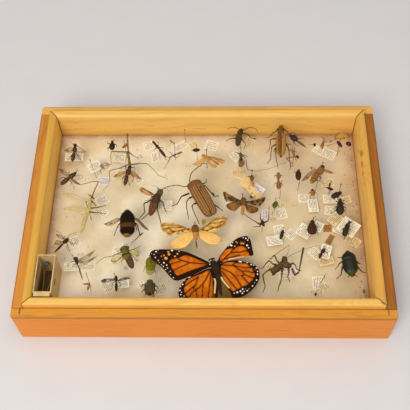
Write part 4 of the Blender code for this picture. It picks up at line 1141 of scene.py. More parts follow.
brown_case = chitin(
    "brown_wing_case", (166, 116, 58), (34, 18, 5), 0.5, 0.0, stripes=7, seam=0.06, dusty=0.15,
)
brown_shield = chitin("brown_shield", (134, 88, 42), (72, 42, 16), 0.4, 0.1)
brown_limb = chitin("brown_limb", (66, 40, 18), (28, 14, 6), 0.4)
broad = Piece(-10, 25)
add_shell(
    broad, brown_case, (-0.4, -0.2, 37.4), (16.9, -33.4, 35.6), [7.2, 7.4, 7.6, 7.7, 7.6, 7.4, 7.0, 6.6],
    5.4, sides=96, rings=60, ribs=8, ridge=0.14, cleft=0.5, notch=0.12, blunt=12,
)
add_shell(broad, brown_shield, (-1.8, 2.2, 37.9), (1.8, -5.1, 37.8), [6.9, 7.3, 7.4, 7.2], 4.6, cleft=0.1)
add_lobe(broad, brown_shield, (-1.9, 4.5, 36.8), (-0.4, -2.8, 36.9), 3.0, 2.6)
add_knobs(broad, brown_limb, 0.8, 0.8, (-3.6, 1.1, 37.2), (2, 1.5, 37.4))
add_feeler(
    broad, brown_limb,
    [
        -4.4, 1.7, 38, -4.8, 4, 39, -3, 10.4, 41, 3.1, 15.7, 43, 5.3, 17.1, 43, 6.8, 19.9, 43, 9.3, 20.7,
        42, 11.9, 19.4, 42,
    ],
    0.42, 12, 60,
)
add_feeler(
    broad, brown_limb,
    [-4.4, -0.8, 37, -8, -3.6, 39, -11.8, -3.9, 40, -17.4, -3.4, 41, -27.3, -5.9, 41, -30.5, -8.3, 40],
    0.45, 10, 60,
)
add_legs(
    broad, brown_limb, 0.6, (37, 39, 37), [2, 1, 9, 0, 11, 2, 11, 6],
    [7, -2, 10, -2, 19, -15, 22, -13, 23, -14],
)
add_lobe(broad, brown_limb, (16.2, -10.1, 38.6), (18.8, -13, 38.2), 0.95, 0.8)
add_legs(
    broad, brown_limb, 0.72, (37, 39, 35), [-5, -10, -12, -14, -14, -19, -16, -22, -22, -23],
    [-2, -14, -5, -16, -7, -20, -7, -25, -5, -37], [2, -21, 0, -22, -2, -25, -1, -28, 5, -42],
)
add_legs(broad, brown_limb, 0.55, (36, 39, 36), [19, -22, 23, -27, 27, -29])
broad.make("broad_brown_beetle_specimen", "broad_brown_beetle", slot="brown_cuticle")

gold_case = chitin(
    "golden_wing_case", (178, 128, 54), (78, 40, 14), 0.45, 0.05, stripes=1, seam=0.14, dusty=0.2,
)
red_limb = chitin("red_brown_limb", (112, 56, 22), (56, 22, 8), 0.4)
olive_shield = chitin("olive_shield", (120, 84, 30), (66, 40, 12), 0.5)
golden = Piece(74, 84)
add_shell(
    golden, gold_case, (-0.3, -0.4, 38.6), (-1.1, -26.2, 37), [4.6, 5.0, 5.0, 5.0, 4.8, 4.3, 2.8], 3.1,
    cleft=0.3, sides=60, blunt=9,
)
add_lobe(golden, red_limb, (-0.9, -18.8, 36.6), (-1.1, -27.6, 36.3), 1.7, 1.4, rings=20, grooves=4)
add_lobe(golden, red_limb, (-0.1, 1.5, 36.8), (-0.9, -22.1, 36.2), 5.2, 1.6)
add_lobe(golden, olive_shield, (-0.2, 5.9, 38.8), (-0.4, -2.7, 38.6), 3.4, 2.9)
add_lobe(golden, olive_shield, (0, 9.3, 38.6), (-0.2, 3.4, 38.6), 2.3, 2.2)
for x, y in ((-3.2, 4.7), (2.7, 4.9)):
    add_lobe(golden, red_limb, (x, y - 1.4, 38.8), (x, y + 1.3, 38.8), 0.75, 1.0)
add_feeler(
    golden, red_limb,
    [-3.4, 4.5, 39, -5.5, 1.7, 39, -8.5, -1.1, 40, -10.6, -4.2, 40, -12.3, -5.6, 39, -15, -4.7, 38],
    0.5, 8, 50,
)
add_feeler(golden, red_limb, [2.9, 4.5, 39, 5.1, 1.4, 40, 6.9, -1.6, 40, 9.4, -4.3, 39], 0.5, 6, 36)
add_legs(
    golden, red_limb, 0.63, (38, 39, 36), [-4, -6, -9, -7, -11, -8, -11, -13, -12, -18, -15, -22],
    [-5, -13, -8, -15, -10, -17, -11, -25, -11, -30, -13, -33, -15, -35],
)
add_legs(golden, red_limb, 0.63, (37, 37, 33), [-5, -16, -6, -20, -6, -27, -5, -34, -4, -39])
add_legs(
    golden, red_limb, 0.7, (37, 38, 37), [-5, -16.3, -7.3, -19.4, -8, -21.3],
    [2.8, -11.5, 5.6, -12.9, 9.2, -12.5],
)
add_legs(golden, red_limb, 0.7, (37, 37, 33), [3, -12, 6, -15, 7, -21, 7, -28, 8, -37, 7, -40])
golden.make("golden_longhorn_specimen", "golden_longhorn_beetle", slot="brown_cuticle")

grey_case = chitin("grey_wing_case", (84, 68, 36), (34, 22, 8), 0.7, dusty=0.2, seam=0.06, pit=0.2)
black_limb = chitin("black_limb", (60, 42, 22), (20, 12, 6), 0.4)
grey_long = Piece(33, 83)
add_shell(
    grey_long, grey_case, (-0.1, -0.2, 38.2), (-2.1, -13.6, 36.8), [3.0, 3.4, 3.4, 3.1, 2.8, 2.4, 1.8], 2.5,
    cleft=0.25,
)
add_lobe(grey_long, grey_case, (1.4, 5.4, 38.4), (-0.1, -2.1, 38.2), 3.0, 2.4)
add_lobe(grey_long, black_limb, (2.2, 6.8, 38.4), (1.1, 1.9, 38.4), 1.9, 1.7)
add_feeler(
    grey_long, black_limb,
    [1.1, 4.1, 39, -1.5, 4.7, 41, -5, 5.6, 42, -8.7, 5.3, 42, -12.3, 4.5, 40],
    0.28, 10, 50,
)
add_feeler(
    grey_long, black_limb,
    [2.9, 3.8, 39, 9.8, 5.6, 42, 13.3, 5, 42, 16.3, 2.1, 43, 17.7, -0.7, 42, 16.9, -2.5, 42],
    0.28, 12, 60,
)
add_legs(
    grey_long, black_limb, 0.48, (38, 39, 37), [-1.8, -0.2, -4.4, -1.3, -6.6, -1.4],
    [-3, -5, -6, -5, -9, -6, -11, -6, -13, -8], [2, 2, 8, 0, 10, -4, 13, -5, 16, -5],
)
add_lobe(grey_long, black_limb, (13, -4.9, 38), (16.5, -6, 38), 0.65, 0.6)
add_legs(grey_long, black_limb, 0.45, (38, 38, 35), [2, -5, 5, -10, 6, -11, 4, -16])
grey_long.make("grey_longhorn_specimen", "grey_longhorn_beetle", slot="dark_cuticle")

# The lighter green towards the rear is a painted highlight.
green_case = chitin(
    "green_wing_case", (28, 34, 12), (8, 10, 3), 0.25, 0.25, seam=0.03, dusty=0.02,
    second_tone=((58, 74, 30), 0.72, 0.95),
)
scarab_limb = chitin("scarab_limb", (92, 58, 28), (34, 18, 8), 0.4)
scarab = Piece(129, -53)
add_shell(
    scarab, green_case, (-0.2, 0.2, 37.6), (1.6, -16.7, 36), [6.6, 6.9, 6.9, 6.8, 6.5, 6.0, 5.0, 3.4], 4.7,
    cleft=0.2, sides=60,
)
add_shell(scarab, green_case, (-0.3, 5.3, 37.4), (0, -3.8, 37.8), [3.4, 5.2, 6.2, 6.6, 6.6], 4.2)
add_lobe(scarab, black_limb, (-0.6, 7.4, 36.8), (-0.5, 2, 37), 2.4, 1.8)
add_lobe(scarab, scarab_limb, (1.8, -10.6, 35.4), (2, -17.7, 35), 3.0, 2.0, rings=20, grooves=4)
add_legs(
    scarab, scarab_limb, 0.55, (36, 38, 36), [-4.4, 1, -7.4, -0.1, -10.2, 1.3],
    [-6, -3, -9, -6, -10, -8, -13, -11],
)
add_legs(scarab, scarab_limb, 0.75, (36, 37, 33), [-6, -8, -7, -12, -8, -16, -12, -19])
add_legs(scarab, scarab_limb, 0.6, (36, 38, 36), [6.8, -3.4, 8.7, -6, 10.8, -5.6])
add_legs(scarab, scarab_limb, 0.75, (36, 36, 34), [7, -8, 9, -11, 11, -13, 14, -13])
add_legs(
    scarab, scarab_limb, 0.55, (36, 36, 34), [0, -14.9, -1.2, -16.8, -2.1, -18.2],
    [3.1, -14.9, 4.6, -16.4, 6.6, -17.2],
)
scarab.make("green_scarab_specimen", "green_scarab_beetle", slot="green_cuticle")

forest_case = chitin(
    "dark_green_wing_case", (74, 70, 26), (30, 28, 8), 0.5, 0.1, stripes=7, dusty=0.2,
    second_tone=((86, 54, 20), 0.45, 0.8), pit=0.25,
)
forest = Piece(-47, -77)
add_shell(
    forest, forest_case, (-0.4, 0.4, 37), (0, -12.9, 35.6), [3.4, 4.9, 5.0, 4.8, 4.6, 4.3, 3.8, 2.2], 2.9,
    cleft=0.35, notch=0.2, sides=56, ribs=5, ridge=0.12,
)
add_lobe(forest, forest_case, (-0.5, 2.2, 37), (-0.3, -2.6, 37), 2.7, 2.0)
add_knobs(forest, black_limb, 0.7, 0.7, (-2.4, 0.7, 37.4), (1.6, 0.7, 37.4))
add_legs(
    forest, black_limb, 0.53, (37, 38, 35), [-4.2, -2.5, -6.5, -3.5, -7.9, -4.4],
    [-4.3, -6.9, -6, -8.7, -7.1, -9.8], [3.8, -3.4, 6.3, -5, 7.5, -5.9], [3.8, -7.3, 5.9, -8.9, 6.5, -10.3],
    [-2.7, -10.2, -3.5, -12.5, -4.1, -12.7], [2.4, -10.1, 3.4, -12.1, 4.1, -12.5],
)
forest.make("dark_green_beetle_specimen", "dark_green_beetle", slot="green_cuticle")

ink = chitin("black_wing_case", (54, 38, 22), (16, 10, 6), 0.3, 0.1, stripes=7, dusty=0.06)
ink_plain = chitin("black_shield", (44, 30, 18), (16, 9, 5), 0.3, 0.1, dusty=0.06)
ground = Piece(125, 1)
add_shell(
    ground, ink, (0.4, -0.4, 38), (-0.3, -9.2, 36.6), [3.3, 3.7, 3.8, 3.6, 3.0, 2.2], 2.6, cleft=0.25,
    sides=48, ribs=7, ridge=0.06,
)
add_shell(ground, ink_plain, (0.8, 4.6, 38), (0.4, -1.5, 38), [1.7, 2.6, 2.9, 2.9, 2.3], 1.9)
add_lobe(ground, ink_plain, (1.2, 7.8, 37.8), (0.7, 2.3, 37.8), 1.6, 1.4)
add_legs(
    ground, black_limb, 0.45, (37, 39, 37), [-1.1, 3.9, -2.8, 4.4, -3.5, 4.6],
    [-1.8, -0.2, -4.6, -2.5, -6.1, -3.5], [-2, -3, -5, -6, -6, -7, -9, -8], [2.9, 3, 4.5, 1.2, 5.7, 1.3],
    [3, -0.2, 4.9, -2.5, 5.8, -4.5], [2.5, -3.5, 4.1, -5.7, 4.9, -8],
)
ground.make("black_ground_beetle_specimen", "black_ground_beetle", slot="dark_cuticle")

click = Piece(129, -22)
add_shell(
    click, ink, (0.5, -0.2, 38), (-2.4, -9, 37), [2.3, 2.6, 2.7, 2.6, 2.4, 2.0], 2.2, cleft=0.2, sides=48,
    ribs=7, ridge=0.05,
)
add_shell(click, ink_plain, (2.4, 3.8, 38), (0, -1.9, 38), [1.5, 2.1, 2.2, 2.2, 1.9], 1.8)
add_lobe(click, ink_plain, (3.8, 6.6, 38), (2.1, 2.1, 38), 1.3, 1.2)
add_legs(
    click, black_limb, 0.38, (37, 38, 37), [-1.2, -0.2, -3.8, -1.9, -5.3, -3.4],
    [-2.4, -3.4, -3.5, -6.2, -4.4, -6.7], [2.2, -0.9, 3.5, -2.5, 3.8, -3.8],
    [0.4, -4.4, 1.7, -6.6, 1.5, -8.6], [4.2, 5.4, 5.5, 5.3, 6.9, 7.6],
)
click.make("black_click_beetle_specimen", "black_click_beetle", slot="dark_cuticle")

leaf_beetle = Piece(126, 14)
add_shell(
    leaf_beetle, ink, (-0.3, 0.3, 38.2), (-7.9, -3.9, 37.4), [2.4, 2.8, 2.8, 2.7, 2.3], 2.3, cleft=0.2,
)
add_lobe(leaf_beetle, ink_plain, (1.7, 1.8, 38.2), (-1.7, -0.8, 38.2), 1.8, 1.6)
add_legs(
    leaf_beetle, black_limb, 0.36, (37, 38, 36), [-1.6, -1.9, -2.4, -5.8, -1.3, -7.2],
    [-4.5, -3, -5.8, -6.2, -4.8, -6.7], [0.4, -0.1, 2, -2.5, 3.7, -0.6],
)
leaf_beetle.make("black_leaf_beetle_specimen", "black_leaf_beetle", slot="dark_cuticle")

# ---------------------------------------------------------------- the true bugs
# Flat shield shapes with a triangle on the back and leathery forewings; the green one has a clear
# end to its wings and has slipped under the butterfly, the brown one is dark as bark.

olive_skin = chitin("olive_skin", (124, 114, 12), (84, 76, 4), 0.5, 0.0, dusty=0.05, pit=0.1)
olive_end = chitin("olive_wing_end", (160, 152, 76), (116, 108, 40), 0.5, 0.0, stripes=6)
stink = Piece(-48, -51)
add_shell(stink, olive_skin, (0, 0.5, 33.4), (0.2, -13.9, 33), [3.4, 4.4, 4.6, 4.4, 4.2, 4.1], 2.1)
add_shell(stink, olive_end, (-0.1, -8.4, 33), (-0.1, -17.1, 32.6), [3.6, 3.9, 3.9, 3.5, 2.8], 1.4)
add_shell(stink, olive_skin, (0.1, -2.7, 34.9), (0.2, -10.5, 34.2), [3.0, 2.6, 1.9, 1.0, 0.2], 0.7)
add_legs(
    stink, olive_skin, 0.4, (33, 34, 32), [-3, -7, -5, -10, -6, -14], [3.6, -7, 5.8, -6.5, 6.6, -7.3],
    [3.7, -12.4, 5, -15.2, 5.2, -16.8],
)
stink.make("green_stink_bug_specimen", "green_stink_bug", slot="green_cuticle")

bark_skin = chitin("bark_skin", (72, 34, 14), (34, 12, 4), 0.45, 0.05, dusty=0.08)
shield_bug = Piece(98, -17)
add_shell(
    shield_bug, bark_skin, (0.5, -0.3, 38.6), (-0.4, -12.3, 37.6), [2.4, 3.0, 3.7, 4.3, 4.3, 3.9, 3.6], 2.5,
    blunt=9,
)
add_shell(shield_bug, bark_skin, (0.1, -4.9, 40), (-0.4, -10.3, 39.2), [2.6, 2.2, 1.4, 0.3], 0.9)
add_lobe(shield_bug, black_limb, (0.8, 2.6, 38.4), (0.4, -2.9, 38.4), 1.7, 1.6)
add_legs(
    shield_bug, black_limb, 0.36, (37, 39, 36), [2.3, 0.4, 3.1, 1.4, 3.9, 4.4],
    [2.8, -6.3, 4.4, -10.2, 5.3, -12], [3.2, -3.2, 4.5, -4.7, 5.8, -4.7],
    [-2.3, -6.3, -5.3, -7.9, -5.7, -8.3], [-1.7, -3.2, -4.2, -5, -5.5, -3], [-0.4, 1, -1.9, 0.3, -2.3, 1],
)
shield_bug.make("brown_shield_bug_specimen", "brown_shield_bug", slot="brown_cuticle")

# ---------------------------------------------------------------- bees, wasps and flies
# Furred or banded bodies with thin clear wings. The fur of the bumblebee is real hair, black with
# a rusty belt and a golden tail; wings are browned films stiffened by veins.


def membrane(name, colour, vein, cover, second_tone=None):
    """A wing film: mostly clear, solid along its veins and its edges, and stained in its spots."""
    film = Finish(name, Roughness=0.3, Specular_IOR_Level=0.5)
    colour = tint(*colour)
    cloud = film.noise(film.place(2.5), detail=3.0)
    to_vein = film.measure("to_vein") + (cloud - 0.5) * 0.08
    along_vein = to_vein.within(0.3, 0.12)
    shade = film.blend(cloud, colour, tuple(c * 0.7 for c in colour))
    shade = film.blend(along_vein, shade, tint(*vein))
    solid = along_vein.maths("MAXIMUM", cover + (cloud - 0.5) * 0.3)
    if second_tone:
        spot = (film.measure("in_dark") + (cloud - 0.5) * 0.4).within(-0.2, 0.2)
        shade = film.blend(spot, shade, tint(*second_tone))
        solid = solid.maths("MAXIMUM", spot)
    return film.dress(shade, None, along_vein, 0.05, 0.5, Alpha=solid)


def add_film(piece, finish, lead, trail, root, tip, camber=0.3, dark=()):
    """A thin wing with veins fanned at even shares between its two edges, and along both edges."""
    wing, out, across = wing_rings(lead, trail, root, tip, (26, 24), 0.05, camber)
    start, end = smooth_line(pairs(lead), 10), smooth_line(pairs(trail), 10)
    veins = [start * (1 - share) + end * share for share in (0.03, 0.22, 0.42, 0.62, 0.82)]
    veins.append(np.array([veins[1][5], veins[2][6], veins[3][5], veins[4][6]]))
    piece.rings(wing, finish, to_vein=nearest(wing, veins), in_dark=dotted(wing, dark))


bee_black = fluff("bee_black", (44, 28, 14), (12, 6, 3), 0.3)
bee_rust = fluff("bee_rust", (116, 72, 34), (46, 24, 10), 0.3)
bee_gold = fluff("bee_gold", (180, 128, 60), (104, 66, 24), 0.3)
brown_film = membrane("brown_film", (200, 158, 88), (92, 58, 26), 0.38)
clear_film = membrane("clear_film", (216, 192, 148), (130, 96, 54), 0.18)
amber_film = membrane("amber_film", (224, 168, 70), (124, 76, 22), 0.52)

bumble = Piece(-72, -6)
bumble_parts = (
    (bee_black, (0.3, -0.1, 39.2), (1.4, -18.4, 38.8), 6.8, 5.4, 1500),
    (bee_black, (0, 1.8, 38.6), (0.3, -3.1, 38.4), 2.9, 2.6, 200),
    (bee_rust, (0.8, -8.3, 38.6), (1.6, -22.8, 38), 6.9, 5.2, 900),
    (bee_black, (1.1, -13.7, 38.4), (1.6, -24.6, 37.6), 6.8, 5.0, 900),
    (bee_gold, (1, -15.5, 37.8), (1.4, -25.8, 36.8), 4.7, 4.0, 800),
)
for seed, (fur, start, end, width, height, hairs) in enumerate(bumble_parts):
    body = add_lobe(bumble, fur, start, end, width, height)
    add_hair(bumble, fur, body, hairs, 1.2, seed + 20, width=0.07)
add_film(
    bumble, brown_film, [-5.1, -7.7, -9.8, -7.3, -13.8, -9.6, -20.7, -13.5],
    [-5, -9.6, -9, -12.4, -12.4, -15.8, -16.9, -15.6, -20.7, -13.5], 39.4, 38.8,
)
add_film(
    bumble, brown_film, [6.5, -6.4, 10.6, -7.9, 14.7, -12.1, 21.8, -20.1],
    [6.6, -8.8, 11.2, -11.7, 14.8, -16.6, 18.3, -19.5, 21.8, -20.1], 39.4, 38.6,
)
add_legs(
    bumble, black_limb, 0.65, (37, 37, 34), [-4, -10, -7, -13, -9, -17, -11, -23],
    [6, -10, 10, -13, 13, -24, 10, -27, 5, -31], [12.9, -24.3, 14.8, -22.4, 16, -19.9],
)
add_legs(bumble, black_limb, 0.65, (37, 38, 37), [6, -11, 9, -15, 10, -19])
add_feeler(bumble, black_limb, [-1.3, -1.5, 39, -3, -2.5, 40, -5.7, -2.1, 39], 0.22)
add_feeler(bumble, black_limb, [2.2, -1.2, 39, 4.6, -2.5, 40, 6.6, -3.4, 39], 0.22)
bumble.make("bumblebee_specimen", "bumblebee", slot="bee_hair")

honey_skin = chitin("honey_skin", (176, 116, 44), (88, 48, 16), 0.4, 0.1, bands=5, dusty=0.2)
honey_fur = fluff("honey_fur", (172, 124, 64), (92, 56, 22), 0.3)
bee = Piece(108, 38)
add_lobe(bee, honey_skin, (-0.2, 0.1, 38.6), (-8.1, -11.8, 37), 3.1, 2.9, rings=34, grooves=5)
thorax = add_lobe(bee, honey_fur, (3.7, 5.1, 39), (-0.9, -2.7, 38.6), 3.4, 3.2)
add_hair(bee, honey_fur, thorax, 500, 0.8, 31, width=0.05)
add_lobe(bee, black_limb, (4.8, 7.5, 38.8), (2.7, 4, 38.6), 2.2, 1.8)
add_film(
    bee, brown_film, [-0.7, 2.5, -7.4, 0.9, -12.8, -4.1, -17.1, -10.4],
    [-0.9, -0.9, -6.9, -4.1, -11.9, -9.3, -17.1, -10.4], 39.4, 38.4,
)
add_film(bee, clear_film, [-2.5, 2.8, -5.6, 5.5, -8.1, 5.3], [-2.7, 0.9, -6.5, 0.5, -8.1, 5.3], 39.4, 39.4)
add_film(bee, amber_film, [3.2, 3.2, 6.9, 2.8, 14.6, -1.4], [3, 0.9, 10, -2.5, 14.6, -1.4], 39.4, 38.8)
add_legs(
    bee, black_limb, 0.4, (37, 39, 36), [-2.3, -2.3, -4.7, -1.3, -7.7, -2.1],
    [0.1, -3.4, 1.9, -7.5, 1.2, -9.6], [-3.1, -6.8, -1.5, -10.9, -2.6, -13],
)
bee.make("brown_bee_specimen", "brown_bee", slot="bee_hair")

wasp_skin = chitin("wasp_skin", (108, 72, 28), (22, 12, 5), 0.35, 0.15, bands=4, dusty=0.05)
wasp = Piece(-73, 42)
add_lobe(wasp, wasp_skin, (0, 0.4, 38.6), (-1.3, -7.6, 38.4), 2.7, 2.5)
add_lobe(wasp, wasp_skin, (-1.6, -6.3, 38.2), (-3.6, -18.5, 37), 2.1, 2.0, rings=34, grooves=5)
add_lobe(wasp, black_limb, (0.1, 3.7, 38.4), (-0.2, -0.7, 38.4), 1.9, 1.5)
add_film(
    wasp, amber_film, [-1.5, -2.9, -6.9, -3.4, -11.5, -5.9, -15.1, -9.1],
    [-1.3, -5.7, -10.8, -10.5, -15.1, -9.1], 39.2, 38.6,
)
add_film(
    wasp, amber_film, [1.2, -2.9, 5.7, -4.5, 12.3, -12.1], [1, -5.7, 8.4, -12.1, 12.3, -12.1], 39.2, 38.6,
)
add_legs(
    wasp, black_limb, 0.35, (38, 39, 36), [1, -5, 5, -10, 3, -14], [-3, -6, -6, -12, -6, -15],
    [1, 0.8, 3.8, 1.7, 5.4, 2.1],
)
add_feeler(wasp, black_limb, [-0.3, 3.3, 38, -3, 5.6, 39, -4.8, 5.7, 39], 0.16)
add_feeler(wasp, black_limb, [0.7, 3.3, 38, 3.2, 5.2, 39, 4.9, 4.7, 39], 0.16)
wasp.make("amber_winged_wasp_specimen", "amber_winged_wasp", slot="clear_wing")

# ---------------------------------------------------------------- crickets, cicada, mantis and stick insect
# Soft bodied when fresh, so they have dried thin and brown with their long legs folded where they
# would. The cicada keeps a green cast and the mantis is bleached to straw.

dark_skin = chitin("dark_cricket_skin", (92, 58, 30), (30, 16, 8), 0.45, 0.1, bands=7, dusty=0.12)
dark_wing = chitin("dark_cricket_wing", (118, 80, 42), (34, 20, 10), 0.5, stripes=5, seam=0.1, dusty=0.15)
grey_head = chitin("grey_green_head", (96, 88, 56), (48, 40, 20), 0.5, dusty=0.2)
cricket = Piece(-41, 19)
add_lobe(cricket, grey_head, (0, -0.4, 38.4), (-3.6, -9.2, 38.2), 3.1, 2.9)
add_lobe(cricket, dark_skin, (-2.9, -5.1, 38.4), (-6.8, -17.3, 37.8), 4.0, 3.4, blunt=2.4)
add_shell(
    cricket, dark_wing, (-4.5, -8.2, 37.4), (-9.6, -28.4, 36.4), [3.6, 4.1, 4.1, 3.8, 3.0, 2.0], 2.8,
    cleft=0.2, ribs=4, ridge=0.12,
)
add_film(
    cricket, amber_film, [-7.2, -5.9, -12.7, -2.7, -18.2, 0.8, -20.9, -1],
    [-8.8, -8.5, -14.3, -7.8, -19, -5.2, -20.9, -1], 39.4, 40.2,
)
add_legs(cricket, dark_skin, 0.5, (40, 40, 41), [-7, -7, -13, -3, -19, 0])
add_legs(
    cricket, black_limb, 0.75, (38, 38, 34), [-7, -11, -11, -13, -16, -16, -15, -25, -17, -27, -20, -30],
    [-9, -20, -10, -25, -14, -29, -18, -31], [-4, -10, -1, -12, 2, -15, 3, -19, 5, -23],
    [-5, -15, -3, -17, -3, -23, 0, -33, 1, -37],
)
add_legs(cricket, black_limb, 0.75, (38, 39, 38), [-5.6, -8.2, -8.7, -8.8, -10.1, -11.3])
add_feeler(cricket, black_limb, [-1.5, -0.8, 39, -4.7, 0.9, 41, -8.6, 3.3, 40], 0.2, 9, 40)
add_feeler(cricket, black_limb, [0.8, -0.4, 39, 4.7, -0.9, 41, 6.8, -3.4, 40], 0.2, 9, 40)
cricket.make("dark_cricket_specimen", "dark_cricket", slot="dark_cuticle")

spiny_skin = chitin("spiny_cricket_skin", (116, 84, 38), (32, 18, 8), 0.45, 0.1, bands=9, dusty=0.1)
spiny = Piece(72, -53)
add_lobe(spiny, spiny_skin, (-0.4, 0.3, 39.4), (-0.4, -7, 38.8), 2.7, 2.6)
add_lobe(spiny, spiny_skin, (-4.8, -5.6, 38.8), (5.7, -9.5, 38.4), 3.1, 3.0)
add_lobe(spiny, spiny_skin, (-2, -7.2, 38.4), (-12.9, -14.4, 37), 3.1, 3.0, rings=40, grooves=7)
add_lobe(spiny, dark_skin, (-6.9, -11.5, 37.2), (-11.7, -17, 36.2), 1.6, 1.5)
add_lobe(spiny, dark_skin, (-4.1, -9.8, 37.2), (-7.8, -14, 37), 1.7, 1.5)
add_legs(
    spiny, spiny_skin, 0.82, (38, 40, 37), [-7, -8, -11, -7, -14, -4, -17, -7, -20, -11, -23, -10],
    [-4, -7, -7, -4, -9, 1, -11, 0, -12, -2, -14, 0], [4, -8, 7, -6, 9, -9, 10, -12, 14, -13],
    [6, -11, 8, -19, 11, -15],
)
add_legs(
    spiny, spiny_skin, 0.82, (37, 37, 33), [-10, -10, -16, -13, -20, -17, -19, -23, -18, -27, -20, -32],
    [-2, -10, -3, -15, -4, -22, -6, -27, -7, -31], [3, -9, 3, -15, 2, -18, 4, -22],
)
add_feeler(spiny, spiny_skin, [16.6, 7, 43, 14, -5.1, 41, 11.8, -14.8, 38], 1.0)
add_lobe(spiny, spiny_skin, (7.8, -17.8, 38), (12.3, -14.4, 38), 0.9, 0.9)
add_legs(
    spiny, spiny_skin, 0.22, (41, 42, 42), [15.9, 3.9, 16.8, 3], [14.9, -1.1, 13.7, -1.7],
    [13.7, -6.1, 14.7, -7.2],
)
add_legs(spiny, spiny_skin, 0.22, (36, 36, 35), [-18.6, -24.3, -20, -24], [-5, -24.2, -3.7, -24.5])
add_feeler(spiny, spiny_skin, [1.3, -2.4, 40, 5.3, 0.1, 42, 17.8, 5.2, 44, 32.7, 9.9, 43], 0.2, 24, 60)
add_feeler(spiny, spiny_skin, [1, -0.2, 40, 2.7, 2.6, 43, 3.9, 6.1, 44, 3.7, 9.4, 43], 0.16, 10, 30)
add_feeler(spiny, spiny_skin, [-9.2, -0.1, 42, -3.5, 4, 43, 3.7, 9, 44], 0.26, 12, 30)
spiny.make("spiny_bush_cricket_specimen", "spiny_bush_cricket", slot="brown_cuticle")

cicada_skin = chitin("cicada_skin", (126, 108, 34), (54, 42, 12), 0.45, 0.1, bands=2, dusty=0.1)
cicada_head = chitin("cicada_head", (102, 86, 28), (58, 44, 12), 0.45, 0.1, dusty=0.1)
cicada_back = chitin("cicada_back", (106, 68, 26), (46, 22, 8), 0.4, 0.15, bands=6, dusty=0.1)
green_film = membrane("green_film", (206, 174, 70), (128, 106, 30), 0.22)
cicada = Piece(-73, -43)
add_lobe(cicada, cicada_head, (0.3, 0.2, 39.2), (2.5, -5.8, 39), 4.1, 2.8, blunt=2.5)
add_knobs(cicada, cicada_head, 1.0, 1.0, (-2.1, -3.2, 39.8), (4.8, -1, 39.8))
add_lobe(cicada, cicada_skin, (1, -1.9, 39.2), (4.9, -13.2, 38.4), 3.9, 3.4)
add_lobe(cicada, cicada_back, (3.2, -5.7, 38.4), (9.5, -20.7, 36.4), 3.4, 3.0, rings=40, grooves=7)
add_film(
    cicada, green_film, [-1.6, -7.3, -6, -7.5, -8.9, -9.7, -10.6, -13.7],
    [0.6, -11.9, -1.5, -16.3, -5, -17.3, -10.6, -13.7], 38.8, 37.4,
)
add_film(
    cicada, green_film, [5.9, -3.6, 10.8, -2.6, 14.1, -4.8, 15.1, -8.2],
    [7.1, -7.8, 9.8, -10.9, 12.5, -11.3, 15.1, -8.2], 38.8, 38,
)
add_film(
    cicada, brown_film, [6.5, -5.8, 9.6, -16.3, 9.5, -20.2], [5.1, -7.2, 7.8, -17.7, 9.5, -20.2], 39.6,
    38.4, 1.2,
)
add_legs(
    cicada, olive_skin, 0.42, (37, 38, 34), [0, -8, -4, -13, -9, -15],
    [0.6, -10.5, -0.6, -14.4, -0.4, -16.4], [5, -3, 10, -2, 15, 3], [6, -6, 10, -10, 13, -13],
)
add_legs(cicada, olive_skin, 0.42, (37, 37, 28), [-1, -4, -6, -7, -11, -9, -17, -9, -22, -11, -25, -12])
cicada.make("green_cicada_specimen", "green_cicada", slot="green_cuticle")

straw_skin = chitin("straw_skin", (208, 188, 120), (164, 136, 72), 0.5, dusty=0.2)
straw_film = membrane("straw_film", (222, 200, 140), (196, 168, 100), 0.3)
mantis = Piece(-107, 9)
add_lobe(mantis, straw_skin, (-0.1, 0, 38.4), (-1.2, -16.3, 38.2), 1.6, 1.5, blunt=2.6)
add_lobe(mantis, straw_skin, (-1.2, -6.5, 38.2), (-6.2, -37.1, 36.4), 2.1, 1.8, rings=44, grooves=8)
add_lobe(mantis, straw_skin, (-1.6, 2.4, 38.8), (1.6, 0.9, 38.8), 1.4, 1.0)
add_film(
    mantis, straw_film, [-0.7, -1.9, -8.6, 1, -17.4, 4.7, -24.1, 5.4, -27.5, 3.4],
    [-1.3, -5.9, -9.8, -5.2, -18.6, -2.1, -24, 0.7, -27.5, 3.4], 38.8, 39.6,
)
add_film(
    mantis, straw_film, [-1.9, -11, -9.5, -9.2, -19, -8.3, -27.1, -11.6],
    [-2.8, -14.6, -10.9, -14.6, -19.2, -14.9, -27.1, -11.6], 38.2, 37,
)
add_legs(
    mantis, olive_shield, 0.62, (38, 41, 40), [0, -1, 1, 1, 3, 8, 6, 17, 0, 17, -10, 14],
    [0, -2, 4, -8, 6, -10], [3, -1, 1, 0, -3, 3],
)
add_legs(
    mantis, olive_shield, 0.62, (38, 39, 35), [-1, -11, 5, -11, 10, -9, 14, -6],
    [-1, -15, 4, -16, 10, -16, 15, -15],
)
add_feeler(mantis, straw_skin, [-0.7, 1.9, 39, -3.3, 2.8, 40, -7.1, 2.4, 41], 0.12)
mantis.make("pale_mantis_specimen", "pale_mantis", slot="pale_cuticle")

